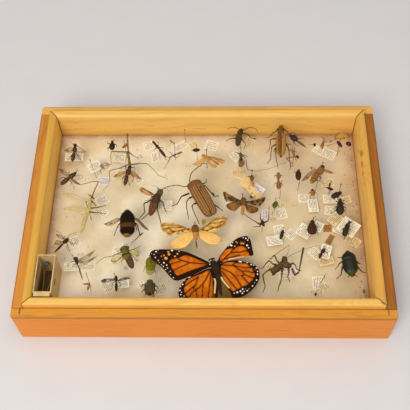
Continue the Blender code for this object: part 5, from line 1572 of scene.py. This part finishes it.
twig_skin = chitin("twig_skin", (150, 128, 62), (96, 74, 30), 0.55, dusty=0.15, bands=6)
twig = Piece(-78, 85)
add_lobe(twig, twig_skin, (0, -0.3, 38.4), (0.7, -5.7, 38.4), 1.1, 1.0)
twig_girth = np.interp(
    np.linspace(0, 1, 40), [0, 0.03, 0.46, 0.5, 0.54, 0.85, 1], [0.3, 0.8, 0.85, 1.3, 0.9, 1.5, 0.4],
)
twig_line = smooth_line(np.reshape([0.2, -2.9, 39, 2.5, -22.8, 38, 5.4, -42.1, 37], (-1, 3)), 40)
twig.rings(tube(twig_line, twig_girth, sides=10), twig_skin, along=np.linspace(0, 1, 40)[:, None])
add_legs(
    twig, twig_skin, 0.5, (38, 40, 36), [2, -23, -14, -23, -14, -29, -13, -37, -18, -41],
    [3, -38, -3, -42, -14, -46, -13, -56, -14, -61, -19, -66],
    [6, -38, 15, -37, 22, -38, 28, -44, 33, -50, 42, -53], [3, -23, 8, -29, 12, -29],
)
twig.make("stick_insect_specimen", "stick_insect", slot="brown_cuticle")

# ---------------------------------------------------------------- the smallest specimens
# Flies, wasps, an earwig, a damselfly, a crane fly and small beetles, on the thinnest pins. Each is
# one to four body parts, its wings as films, and what legs it has left.


def specimen(
    name, spot, bodies, films, limbs, lean=(0, 0), leg_finish=brown_limb, thick=0.3, head=STRIP_TOP,
):
    """All measured from the pin's foot. Bodies are (finish, start, end, half width, half height,
    grooves), films are (finish, lead, trail, spots) and limbs are (heights, leg, leg and so on)."""
    piece = Piece(*spot)
    for finish, start, end, width, height, grooves in bodies:
        rings = 12 + 5 * grooves
        add_lobe(piece, finish, start, end, width, height, rings=rings, sides=14, grooves=grooves)
    for finish, lead, trail, *dark in films:
        add_film(piece, finish, lead, trail, 38.8, 38.8, dark=dark)
    for heights, *legs in limbs:
        add_legs(piece, leg_finish, thick, heights, *legs)
    add_pin(piece, (0, 0), head, lean)
    piece.make(name)


rust_skin = chitin("rust_skin", (172, 110, 50), (84, 42, 16), 0.4, 0.1, dusty=0.1)
purple_skin = chitin("purple_skin", (66, 34, 40), (26, 10, 14), 0.3, 0.2, dusty=0.05)
gold_skin = chitin("gold_skin", (178, 134, 44), (120, 80, 20), 0.5, dusty=0.1)
leaf_skin = chitin("leaf_green_skin", (84, 98, 22), (26, 34, 8), 0.35, 0.2, dusty=0.05)
grey_film = membrane("grey_film", (190, 178, 156), (90, 70, 50), 0.4, second_tone=(58, 40, 28))

specimen(
    "banded_wasp", (-127.5, 65.7),
    [
        (black_limb, (-0.9, 6.1, 38.6), (-0.6, 1.3, 38.6), 1.7, 1.5, 0),
        (wasp_skin, (-0.7, 2.6, 38.8), (-0.6, -5.1, 38.4), 2.2, 2.2, 0),
        (wasp_skin, (-0.7, -3.9, 38.4), (-2, -14.3, 37), 2.1, 1.9, 4),
    ],
    [
        (brown_film, [-1.4, 0, -5.9, 1.7, -10.7, -2.4], [-1.6, -3.6, -6, -6.2, -10.7, -2.4]),
        (clear_film, [0.6, 0, 5.5, 0.5, 10.8, -4.3], [0.6, -3.6, 5.9, -7.6, 10.8, -4.3]),
    ],
    [
        ((39, 40, 39), [-1.2, 4.1, -3.7, 5.1, -6.4, 8.2], [0.2, 3.6, 3.2, 1, 5.8, -0.5]),
        ((38, 39, 35), [1, -5, 5, -11, 8, -15], [-2, -5, -4, -10, -7, -11]),
    ],
)
specimen(
    "round_black_beetle", (-91.6, 69.2),
    [
        (ink_plain, (-0.3, 4.1, 38), (-0.2, -4.8, 38), 2.9, 2.1, 0),
        (ink_plain, (-0.4, 6.1, 38), (-0.3, 1.7, 38), 1.5, 1.2, 0),
    ],
    (),
    [
        (
            (37, 39, 37), [-2.9, 3.2, -4.8, 2.7, -5.8, 6.8], [-2.8, -0.4, -4.3, -3.8, -3.7, -4.5],
            [1.7, 2.4, 3.8, 1, 4.1, -0.5], [-1.1, 5.6, 0.6, 6.8, 2.1, 7.3],
        ),
    ],
    leg_finish=black_limb, thick=0.4,
)
specimen(
    "pale_fly", (-108, 44.9), [(gold_skin, (5.4, 3.2, 36), (11, -1.7, 35.6), 1.1, 1.0, 3)],
    [(clear_film, [6.8, 2, 11.5, 4.4, 15.6, 2], [8, -0.3, 12, -1.5, 15.6, 2])],
    [((36, 36, 34), [8, -0.3, 6.3, -3.8, 8.2, -5.9])], (-2.5, 2.0),
)
specimen(
    "amber_fly", (-79.2, 69.2), [(gold_skin, (-2.2, -1.9, 38), (1.3, 1.2, 38), 1.2, 1.0, 2)],
    [(amber_film, [-2.8, -2.4, -0.1, 1.7, 3.3, 4.1], [-1.3, -3.6, 1.9, -1.9, 3.3, 4.1])],
    (),
)
specimen(
    "dark_wasp", (-128.9, 32.4),
    [
        (wasp_skin, (3.6, 4, 38.6), (-1.3, -1.4, 38.4), 2.5, 2.4, 0),
        (wasp_skin, (-0.8, -0.4, 38.4), (-9.1, -7.7, 37), 2.5, 2.2, 5),
        (black_limb, (4.8, 5.4, 38.6), (2.6, 2.6, 38.6), 1.7, 1.4, 0),
    ],
    [
        (brown_film, [0.1, 1.4, -6.4, 7.4, -11.5, 9.8], [-1.8, -0.8, -7.9, 2.1, -11.5, 9.8]),
        (amber_film, [1.6, -0.8, 6.9, -5.4, 12.1, -9.7], [0.3, -2.9, 5.2, -7.7, 12.1, -9.7]),
    ],
    [
        ((37, 39, 36), [2, 3, 6, 1, 7, 5], [-1, -2, 2, -7, 0, -9], [-4.6, 0, -7.1, -0.2, -10.5, -0.5]),
        ((39, 40, 39), [4.5, 4.9, 6.1, 6.5, 5.2, 10]),
    ],
    leg_finish=black_limb, thick=0.36,
)
specimen(
    "crane_fly", (-125.8, -36.8),
    [
        (bark_skin, (1.9, 3.3, 37), (-2.7, -1.9, 36.6), 2.0, 1.8, 0),
        (bark_skin, (-1.9, -0.9, 36.6), (-9.8, -10.1, 35), 1.1, 0.95, 6),
    ],
    [
        (clear_film, [-2, 0.6, -6.3, -2.1, -10.8, -2.9], [-2.7, -1.5, -6, -5.2, -10.8, -2.9]),
        (clear_film, [-0.3, 1.6, -5.4, 5.8, -10.1, 6.8], [-1.5, 0.6, -6.8, 2, -10.1, 6.8]),
    ],
    [
        (
            (37, 39, 33), [-2, 2, -5, 7, -12, 14], [0, 2, 3, 6, 8, 12], [1, -1, 2, -9, 5, -11],
            [1, 1, 7, -4, 10, 3], [-3, -1, -8, 0, -13, -6],
        ),
    ],
    thick=0.24,
)
specimen(
    "damselfly", (-114.6, -57.1),
    [
        (black_limb, (-2.7, 1.8, 38.8), (1.7, 2.4, 38.8), 1.5, 1.4, 0),
        (black_limb, (-0.4, 2.1, 38.6), (1.9, -3.2, 38.4), 1.7, 1.6, 0),
        (brown_limb, (1.3, -1.7, 38.2), (7.4, -17.9, 35), 0.55, 0.5, 9),
    ],
    [
        (clear_film, [1.4, 0.4, 8.5, 5.5, 16.5, 10.8], [1.8, -1, 10.7, 1.4, 16.5, 10.8]),
        (clear_film, [1.5, -0.7, 8.9, 0.3, 18.8, 4.8], [1.8, -2.1, 11, -3.3, 18.8, 4.8]),
    ],
    [((38, 39, 36), [-1, 0, -4, -2, -8, -4], [0.2, -2, -1.6, -5.1, -3.2, -7])],
    (-2.2, 1.4),
)
specimen(
    "star_fly", (-102.7, -73.2), [(gold_skin, (2.1, -4.5, 36.6), (0.7, -12.2, 36), 1.1, 1.0, 3)],
    [(amber_film, [1.6, -6, -1.1, -6.2, -4.5, -6.8], [1.8, -7.9, -1.2, -7.9, -4.5, -6.8])],
    [((36, 37, 33), [2, -7, 4, -12, 4, -15]), ((36, 37, 37), [1.8, -5, 0.9, -2.6])],
    leg_finish=gold_skin,
)
specimen(
    "spotted_fly", (-77.5, -74.8),
    [
        (ink_plain, (0, 3, 38.6), (0.4, -3, 38.2), 1.5, 1.4, 0),
        (ink_plain, (0.6, -2.7, 38), (1.1, -11.5, 36.6), 1.45, 1.3, 4),
    ],
    [
        (
            grey_film, [-1, 0.2, -10.4, -0.2, -13.2, -2.8],
            [-0.7, -2.1, -5.1, -4.1, -9.6, -4.9, -13.2, -2.8],
            [-9.4, -1.6, 1.5, -11.6, -2.6, 1, -4.4, -1.2, 0.77],
        ),
        (
            grey_film, [1.6, -1.5, 5.5, 0.6, 9.9, 1.4, 13.5, 0.4], [1.7, -3.1, 5.7, -2.5, 13.5, 0.4],
            [8.2, 0, 1.1, 11.4, 0.2, 0.95, 4.3, -1.7, 0.69],
        ),
    ],
    [
        (
            (38, 39, 36), [1.6, -2.5, 4.5, -4.5, 4.3, -6.4], [-0.7, -2.5, -2.5, -4.9, -3.1, -6.2],
            [-0.7, 0, -2.5, -2.4, -5.3, -0.4],
        ),
    ],
    (-0.4, 1.0), leg_finish=black_limb,
)
specimen(
    "earwig", (-46.1, 67.2),
    [
        (purple_skin, (-6.5, 8, 38), (-2.7, 2.9, 38), 1.3, 1.1, 0),
        (dark_skin, (-3.8, 4.4, 38), (1.1, -2.1, 38), 1.5, 1.2, 0),
        (dark_skin, (0, -0.4, 38), (7.4, -11, 37.4), 1.6, 1.3, 7),
    ],
    (),
    [
        (
            (37, 38, 38), [6.6, -9.7, 9, -11.2, 10.7, -13], [6.4, -10.2, 7.4, -13.5, 9.4, -15.4],
            [-1.7, 0.3, -4.4, -2.1, -5.2, -5.2], [0, 1, 4, 0, 5, -3],
        ),
    ],
)
specimen(
    "long_ant", (-30.5, 66.1),
    [
        (rust_skin, (-5.4, -10.5, 37), (-1.8, -8.2, 37), 0.8, 0.7, 0),
        (brown_limb, (-2.2, -8.4, 37), (2.2, -5.8, 37), 0.75, 0.7, 0),
        (rust_skin, (1.6, -6.3, 37), (7.7, -3, 36.4), 1.2, 1.0, 4),
    ],
    (),
    [
        ((37, 38, 36), [-1, -8, 2, -11, 6, -7], [-1.8, -7.9, -3.7, -4.8, -6, -2.7]),
        ((37, 37, 33), [-4, -11, -6, -16, -10, -21]),
    ],
)
specimen(
    "small_oval_beetle", (-8.7, 64.3), [(ink_plain, (-4.1, -0.5, 38), (3.1, 0.2, 38), 1.9, 1.5, 0)], (),
    [((38, 38, 38), [-3.7, -0.2, -5.3, -0.7])],
)
specimen(
    "grey_brown_fly", (34, 58.3),
    [
        (grey_head, (-0.3, 2.5, 38.8), (0.2, -3.9, 38.6), 1.6, 1.5, 0),
        (dark_skin, (0.2, -2.6, 38.4), (-0.1, -11.8, 37.4), 2.0, 1.4, 4),
    ],
    [
        (brown_film, [-0.8, -2.6, -2.4, -7.7, -2.2, -14.2], [1.5, -3.1, 2.2, -8.9, 0.4, -15.4]),
        (brown_film, [0.6, -3, 3.6, -7, 3.3, -12.1], [-0.2, -4.6, -0.3, -10.5, 0.6, -15.1]),
    ],
    [
        (
            (38, 39, 37), [-0.9, 0.7, -3, 2.1, -5.9, 4.3], [1.2, 0.2, 4.1, -1.4, 6.8, -2.1],
            [1.2, -1.2, 3.7, -3.5, 4.8, -4.5],
        ),
    ],
    thick=0.45,
)
specimen(
    "purple_wasp", (86.4, 78),
    [
        (purple_skin, (-3.3, 2.5, 38.6), (3.3, -2.7, 38.4), 3.1, 2.9, 0),
        (dark_skin, (-4.8, 4.2, 38.6), (-2, 1.8, 38.6), 1.7, 1.5, 0),
    ],
    [(brown_film, [2.3, -2.6, 6.5, -4.6, 11.7, -12], [1.6, -5, 5.7, -9.1, 11.7, -12])],
    [
        (
            (38, 39, 37), [-1, -3, 1, -8, 5, -9], [-3.8, 4.7, -2.2, 6.1, 0.8, 8.8],
            [3.8, -0.7, 7.2, -0.9, 10.4, -0.5], [3, -3, 6, -7, 11, -10],
        ),
    ],
    leg_finish=dark_skin, thick=0.4,
)
specimen(
    "wasp_legs", (85.5, 59.9),
    [
        (rust_skin, (-4, 5, 38), (0.7, 1.4, 38), 1.0, 0.9, 2),
        (dark_skin, (2.2, -1.9, 38), (4, -5.9, 38), 1.3, 1.2, 0),
    ],
    (),
    [
        ((38, 39, 37), [-4, 5, 0, 2, 3, 2], [-2, 4, -1, -3, 3, -3], [0, 1, 1, -6, 2, -9]),
        ((37, 38, 34), [2, -3, -8, -5, -5, -9, -2, -11, -2, -13, -4, -13]),
    ],
    leg_finish=rust_skin, thick=0.5,
)
specimen(
    "dark_oval_beetle", (89, 29.7),
    [
        (bark_skin, (-0.4, 10.4, 38), (-0.7, -0.5, 37.6), 2.9, 2.2, 0),
        (black_limb, (0, 11.8, 38), (-0.4, 7.6, 38), 1.5, 1.2, 0),
    ],
    (), [((38, 38, 37), [-2.6, 7.6, -3.9, 8.8, -3.9, 11.7])], (1.2, 1.5),
)
specimen(
    "corner_beetles", (130.1, 71.2),
    [
        (ink_plain, (-23.8, 1, 38), (-24.2, -3, 38), 1.3, 1.1, 0),
        (purple_skin, (-2, 3.6, 38), (2.1, -3.8, 38), 1.8, 1.6, 4),
        (purple_skin, (6.8, 2.4, 37), (11.4, -0.7, 37), 2.4, 1.8, 0),
        (rust_skin, (-15.4, 3.6, 38), (-17.2, -6, 37.4), 1.5, 1.3, 4),
        (gold_skin, (-14.4, 8, 38), (-15.5, 2.4, 38), 1.0, 0.9, 0),
    ],
    [
        (amber_film, [-5, 5.8, -1.4, 10.6, 4.2, 12.3, 11.2, 8.9], [-4.2, 4.1, 1, 3.4, 6.4, 2.9, 11.2, 8.9]),
        (clear_film, [-14.7, 3.6, -9.7, 5.3, -5.9, 3.6], [-14.8, 1.2, -10.1, -0.7, -5.9, 3.6]),
    ],
    [
        (
            (38, 38, 38), [-24.7, -0.7, -29.5, -0.6], [-12, -2, -8, -1, -2, 2], [-17, 0, -19, -3, -19, -6],
            [-14.5, 6.1, -17.2, 9, -18.9, 8],
        ),
        ((41, 44, 41), [-5, 6, -1, 10, 5, 11, 10, 10]),
    ],
    leg_finish=rust_skin,
)
specimen(
    "orange_ant", (71.3, 20.6),
    [
        (rust_skin, (-1.7, 17.2, 38.4), (-1.8, 9.1, 38.2), 2.2, 1.9, 0),
        (rust_skin, (-1.8, 8.1, 38), (-2.1, -1.1, 37), 2.4, 2.0, 4),
        (dark_skin, (-2.1, 9.9, 38), (-2, 7.2, 38), 0.9, 0.9, 0),
    ],
    (),
    [
        (
            (38, 38, 37), [-3.5, 13.3, -5.4, 14.5, -5.6, 11.7], [0.1, 13.3, 2.2, 14.5, 2.6, 12.2],
            [-3.8, 5.4, -5.9, 4.3, -6.5, 1.5], [0, 5.4, 1.8, 3.8, 2.4, 1.5],
        ),
    ],
    (0.6, 2.6), leg_finish=rust_skin,
)
specimen(
    "small_orange_beetle", (103.4, 17),
    [
        (rust_skin, (-2.2, 2.9, 37), (-2.6, -4.6, 36.6), 2.1, 1.7, 0),
        (bark_skin, (-2.5, 2.7, 37.4), (-2.5, -1.7, 37.2), 1.5, 1.3, 0),
    ],
    (),
    [
        (
            (36, 37, 35), [-4.1, 0.2, -6.2, -2, -6.9, -4.1], [-0.4, 0.2, 1.2, -2, 2.6, -4.7],
            [-3.6, -3.1, -5, -6, -4.1, -6.9],
        ),
    ],
    leg_finish=rust_skin, thick=0.35,
)
specimen(
    "small_black_weevil", (117.7, 22.1),
    [
        (ink_plain, (-3.1, -1.3, 38), (2.8, -3.7, 37.6), 1.4, 1.3, 0),
        (ink_plain, (-1.2, -1.3, 38.4), (0, 3.7, 39), 0.7, 0.7, 0),
    ],
    (),
    [((38, 38, 37), [-2.5, -1.5, -4.4, -1, -5.9, -0.6], [0.1, -3.9, -1, -6.6, -0.9, -8.9])],
    leg_finish=black_limb,
)
specimen(
    "small_green_beetle", (65.5, 3.4), [(leaf_skin, (1.4, 2.4, 37.6), (-1.6, -4.4, 37), 2.4, 1.9, 0)], (),
    [((37, 38, 36), [-1.5, 0, -3.1, -1.1, -3.4, -2.1], [2.2, -1.1, 3.3, -3.5, 3.3, -4.2])],
)
specimen(
    "red_brown_spider", (53.4, -15.4),
    [
        (bark_skin, (-3.1, -3.2, 36), (1.8, 0.4, 36), 1.5, 1.3, 0),
        (bark_skin, (-1.1, 2.3, 35.6), (1.5, -4.6, 35.4), 1.3, 1.1, 0),
    ],
    (),
    [
        ((36, 38, 38), [-1, 0, -2, 3, -2, 8], [-2, -3, -6, -1, -11, 2, -18, 8]),
        ((36, 40, 43), [1, -1, 5, -1, 6, 13]), ((36, 36, 34), [-2, -4, -3, -5, -9, -4]),
    ],
    leg_finish=bark_skin, thick=0.55, head=42,
)
specimen(
    "dark_seed_beetle", (71, -27.6), [(ink, (0.8, 3.3, 37.6), (-2.1, -6.6, 37), 1.8, 1.5, 3)], (),
    [((37, 37, 36), [1.5, 1.1, 3, 0.2])],
)
specimen(
    "small_brown_bug", (106.3, -46.9),
    [
        (bark_skin, (2.2, 3.4, 37), (-1.7, -1.7, 37), 1.8, 1.5, 0),
        (bark_skin, (-0.7, -0.4, 36.8), (-3.6, -6, 36), 1.4, 1.2, 3),
    ],
    (),
    [
        (
            (36, 37, 36), [1.8, 0.9, 3.8, -0.7, 4.5, -2.6], [-0.8, 2.1, -2.4, 3, -2.3, 5.5],
            [-2.4, -1.6, -4, -2.5, -4.8, -4.6],
        ),
    ],
)

# ---------------------------------------------------------------- the data labels
# Slips of printed paper held on the pins under the insects, two or three to a pin, set at odd
# angles and curled a little. The print is too small to read, so it is rows of grey dashes.

ROW_PITCH = 1.45
LABEL_THICKNESS = 0.14
LYING = 19.0


def label_paper(name, paper, aged):
    """Paper with clouded age. Rows at an even pitch across it are cut into dashes by a stretched noise;
    each slip's serial number shifts them, and no dash comes near an edge."""
    slip = Finish(name, Roughness=0.8, Specular_IOR_Level=0.2)
    fibre = slip.noise(slip.place(0.5), detail=4.0, rough=0.6)
    cloud = slip.noise(slip.place(5), detail=3.0)
    lengthwise, crosswise = slip.measure("lengthwise"), slip.measure("crosswise")
    serial = slip.measure("serial")
    row = (crosswise / ROW_PITCH + serial * 0.37).maths("FLOOR")
    within_row = (crosswise / ROW_PITCH + serial * 0.37).maths("FRACT")
    spot = slip.join(lengthwise * 0.6 + row * 7.3, serial * 5.7, row * 3.1)
    words = slip.noise(spot, detail=1.0).within(0.38, 0.44)
    band = within_row.within(0.2, 0.34) * within_row.within(0.8, 0.66)
    margin = slip.measure("inset").within(0.7, 1.2)
    ink = words * band * margin * (0.45 + fibre * 0.5)
    clouded = fibre.within(0.3, 0.7) * 0.35 + cloud.within(0.5, 0.8) * 0.4
    colour = slip.blend(clouded, tint(*paper), tint(*aged))
    return slip.dress(slip.blend(ink, colour, tint(84, 72, 56)), None, fibre, 0.05, 0.5)


def add_label(piece, finish, x, y, z, length, width, turn, serial):
    """A slip: lengthwise stations carry a loop across the slip and back beneath it. Unless it lies on
    the paper it curls as the square of the way along and leans a little, by its serial number."""
    along = np.linspace(-0.5, 0.5, 9)[:, None] * length
    loop = np.array([-0.5, -0.25, 0, 0.25, 0.5, 0.5, 0.25, 0, -0.25, -0.5])[None] * width
    layer = np.array([0.5] * 5 + [-0.5] * 5)[None] * LABEL_THICKNESS
    lean, curl = math.sin(serial * 2.4) * 0.05, math.cos(serial * 1.7) * 0.004
    angle = math.radians(turn)
    u, v = along + 0 * loop, loop + 0 * along
    raised = z > LYING
    height = z + layer + lean * u * raised + curl * u**2 * raised + lean * v * raised
    across = x + u * math.cos(angle) - v * math.sin(angle)
    away = y + u * math.sin(angle) + v * math.cos(angle)
    place = np.stack([across, away, height], -1)
    inset = np.minimum(length / 2 - np.abs(u), width / 2 - np.abs(v))
    piece.rings(place, finish, lengthwise=u + length, crosswise=width - v, serial=serial, inset=inset)


white_paper = label_paper("white_label", (248, 238, 212), (230, 212, 172))
cream_paper = label_paper("cream_label", (240, 220, 170), (216, 184, 124))
lilac_paper = label_paper("lilac_label", (242, 234, 238), (218, 204, 206))
tan_card = label_paper("tan_slip", (178, 126, 66), (132, 82, 34))
slips = {
    white_paper: [
        (-130.5, 63.9, 27, 18, 9.5, 0), (-108.4, 50.2, 30, 12.5, 11.4, 31),
        (-86.3, 66.1, 22, 12.1, 10.3, -6), (-66.8, 69.6, 18.6, 8.9, 7.5, 29),
        (-77.7, 48.5, 25, 19.6, 9.6, 7), (-65.8, 42.4, 18.6, 8.7, 8.5, -61),
        (-125.7, 45, 18.6, 10.4, 8.8, 25), (-100.3, 18.5, 18.6, 11.7, 10.6, 32),
        (-99.7, 6.4, 18.85, 14.1, 8.7, -42), (-122.7, -27.3, 18.6, 10.9, 10.7, -64),
        (-115.2, -41.6, 18.6, 9.2, 8.6, 2), (-120.6, -57.2, 27, 13.9, 8.5, 3),
        (-106.7, -52.3, 18.6, 12.2, 9.6, 5), (-86.5, -72.1, 18.6, 12.6, 12.3, -58),
        (-74, -73.7, 27, 13.9, 9.4, 6), (-72.3, -30.9, 18.6, 10.1, 7.4, 1),
        (-79.7, -38, 18.85, 12.6, 8.9, -7), (-62.9, -37.7, 18.6, 9.3, 8.7, 31), (-41, 8, 27, 19, 10, -2),
        (-55.4, 17.2, 18.6, 9.6, 8.5, 15), (-58.1, 83, 18.6, 10.6, 10.5, 15),
        (-51.6, 69.3, 18.6, 12.4, 7.1, -79), (-26.5, 82.3, 18.6, 15.5, 9, 32),
        (5.1, 83.3, 18.6, 12.7, 11.6, -17), (29.4, 70.6, 18.6, 10.9, 10.6, -49),
        (120.9, 73.7, 18.6, 16.2, 11.6, -29), (111.9, 77.4, 18.85, 10.2, 9.6, -35),
        (94.6, 20.8, 18.6, 10.5, 9.1, 2), (102.4, 10.7, 22, 14, 9.7, -85), (119.4, 18.1, 22, 13.7, 9.7, 0),
        (118.3, 7.2, 18.6, 10.7, 9.1, 81), (126.8, -12.9, 18.6, 12.1, 10.9, -26),
        (132.9, -16.8, 29, 17.4, 16.5, -37), (72.2, 3.8, 18.6, 11.8, 10.4, -79),
        (69.6, -14.2, 18.6, 11.2, 10, -81), (80.4, -18.9, 18.6, 9.5, 9.3, 51),
        (64.4, -28.3, 24, 14.4, 10.1, 11), (92.3, -19.9, 27, 12.7, 12.7, 56),
        (103.9, -15.9, 29, 10.7, 10.7, 62), (101.7, -38.8, 18.6, 11.6, 9.6, -46),
        (110.3, -41.4, 27, 14.3, 9.5, 74), (102.8, -69.2, 18.6, 13.8, 10.6, -90),
        (73.3, -61.7, 20, 11.4, 8, 4), (-55.7, -71.7, 18.6, 9.1, 8.3, 58),
        (-38.7, -75.2, 18.6, 10.7, 10.3, -65),
    ],
    cream_paper: [
        (-137.7, -28.4, 18.6, 8.7, 8.1, 70), (-13.2, 84.7, 18.85, 9.9, 8.4, 28),
        (43.9, 87.3, 18.6, 13, 9.5, 72), (35.7, 55, 22, 8.9, 6.9, -75), (135.8, 19.3, 18.6, 8.1, 7.7, -72),
        (118.1, 38.8, 18.6, 12.7, 9.3, 5), (122.3, -4.1, 22, 13.1, 10.4, 46),
        (137.7, -25.5, 18.6, 13.9, 9.7, -37), (74, 13, 18.85, 8.1, 5.5, 89),
        (63.8, -0.1, 25, 8.1, 6.1, -90), (110.9, -48.6, 22, 14.2, 8, 16),
        (106.7, -74.6, 18.85, 13.4, 7.6, 44), (58.9, -53.1, 18.6, 6.5, 6.2, -71),
    ],
    lilac_paper: [
        (-105.9, 58.5, 18.6, 10.3, 9.1, -3), (-100.3, 41, 18.6, 11.7, 8.8, -3),
        (48, 22.7, 34, 16.2, 9.3, -36), (57.1, 3.1, 18.6, 10.6, 6.8, 89),
        (81.5, -58.4, 18.6, 6.8, 5.7, -72),
    ],
    tan_card: [(115, -12.2, 18.6, 7.7, 7.6, 89), (116.6, -24.1, 18.6, 10.5, 5.3, 59)],
}
for paper, slip_places in slips.items():
    labels = Piece()
    for number, slip_place in enumerate(slip_places):
        add_label(labels, paper, *slip_place, serial=number + len(slip_places))
    labels.make(paper.material.name + "_slips", slot="label_paper")

# ---------------------------------------------------------------- loose bits
# What has dropped on the paper over the years: a long feeler, shed legs, a bare pin, a twist of
# brown card, and crumbs of dried insect that gather along the right and front walls.

litter = Piece()
add_feeler(
    litter, brown_limb,
    [
        39.6, 65.8, 19, 40.5, 56.2, 19, 42.9, 53.3, 19, 50.3, 52.3, 19, 55.1, 52.9, 20, 62.9, 53.4, 22,
        79.7, 59.7, 24,
    ],
    0.17, 14, 50,
)
add_legs(litter, brown_limb, 0.3, (19, 20, 19), [-37, 90, -34, 86, -32, 88])
add_legs(litter, dark_skin, 0.28, (24, 22, 20), [109, -63, 105, -70, 103, -74])
add_lobe(litter, bark_skin, (100, -78.7, 19.4), (99.4, -81.5, 19.2), 1.0, 0.7)
add_lobe(litter, rust_skin, (47.8, 26.2, 19), (42.9, 21.1, 19), 1.9, 0.4)
add_lobe(litter, rust_skin, (143.0, -75.4, 19.2), (143.2, -78.6, 19.2), 0.9, 0.9, blunt=8)
add_pin(litter, (-21.2, 87.1), 41)
draw = np.random.default_rng(77)
crumb_count = 150
RIGHT_WALL, FRONT_WALL = 145, -95
crumb_x = draw.uniform(1 - RIGHT_WALL, RIGHT_WALL - 1, crumb_count)
crumb_y = draw.uniform(FRONT_WALL + 2, -FRONT_WALL - 2, crumb_count)
near_edge = draw.random(crumb_count)
at_right, at_front = near_edge < 0.3, near_edge > 0.8
crumb_x[at_right] = RIGHT_WALL - draw.exponential(5, at_right.sum())
crumb_y[at_front] = FRONT_WALL + draw.exponential(5, at_front.sum())
lengths = draw.uniform(0.25, 0.75, crumb_count)
turns = draw.uniform(0, np.pi, crumb_count)
for x, y, length, turn in zip(crumb_x, crumb_y, lengths, turns):
    reach = length * np.array([math.cos(turn), math.sin(turn), 0])
    middle = np.array([x, y, paper_top + 0.2])
    add_lobe(litter, brown_limb, middle - reach, middle + reach, length * 0.5, 0.25, rings=5, sides=5)
litter.make("loose_bits")

# ---------------------------------------------------------------- the studio and the camera
# A plain pale table, one big soft light in front and above, and an even white room around.

floor_mesh = bpy.data.meshes.new("table")
reach = 4.0
corners = [(-reach, -reach, 0), (reach, -reach, 0), (reach, reach, 0), (-reach, reach, 0)]
floor_mesh.from_pydata(corners, [], [(0, 1, 2, 3)])
floor = bpy.data.objects.new("table", floor_mesh)
bpy.context.scene.collection.objects.link(floor)
table_top = Finish("pale_table", Roughness=0.7, Specular_IOR_Level=0.3)
table_grain = table_top.noise(table_top.place(30), detail=4.0)
table_top.dress(table_top.blend(table_grain, tint(209, 208, 210), tint(214, 213, 215)))
floor_mesh.materials.append(table_top.material)

world = bpy.data.worlds.new("white_room")
bpy.context.scene.world = world
world.use_nodes = True
world.node_tree.nodes["Background"].inputs["Color"].default_value = (1.0, 0.97, 0.93, 1.0)
world.node_tree.nodes["Background"].inputs["Strength"].default_value = 0.47


def soft_light(name, energy, width, spot, aim, colour):
    """A square area light that faces the point aim."""
    lamp = bpy.data.lights.new(name, "AREA")
    lamp.energy = energy
    lamp.size = width
    lamp.color = colour
    made = bpy.data.objects.new(name, lamp)
    bpy.context.scene.collection.objects.link(made)
    made.location = spot
    made.rotation_euler = (Vector(aim) - Vector(spot)).to_track_quat("-Z", "Y").to_euler()


soft_light("front_softbox", 18.0, 0.8, (-0.5, -1.15, 1.3), (0.0, 0.0, 0.02), (1.0, 0.95, 0.88))
soft_light("top_softbox", 9.0, 1.4, (0.0, -0.1, 1.7), (0.0, 0.0, 0.0), (1.0, 0.97, 0.93))

lens = bpy.data.cameras.new("camera")
lens.sensor_width = 36.0
lens.lens = 67.17
lens.clip_start = 0.01
lens.clip_end = 20.0
camera = bpy.data.objects.new("camera", lens)
bpy.context.scene.collection.objects.link(camera)
camera.location = (0.0186, -0.3682, 0.6466)
camera.rotation_euler = [math.radians(turn) for turn in (31.29, 1.26, 0.79)]
bpy.context.scene.camera = camera
bpy.context.scene.view_settings.view_transform = "Standard"
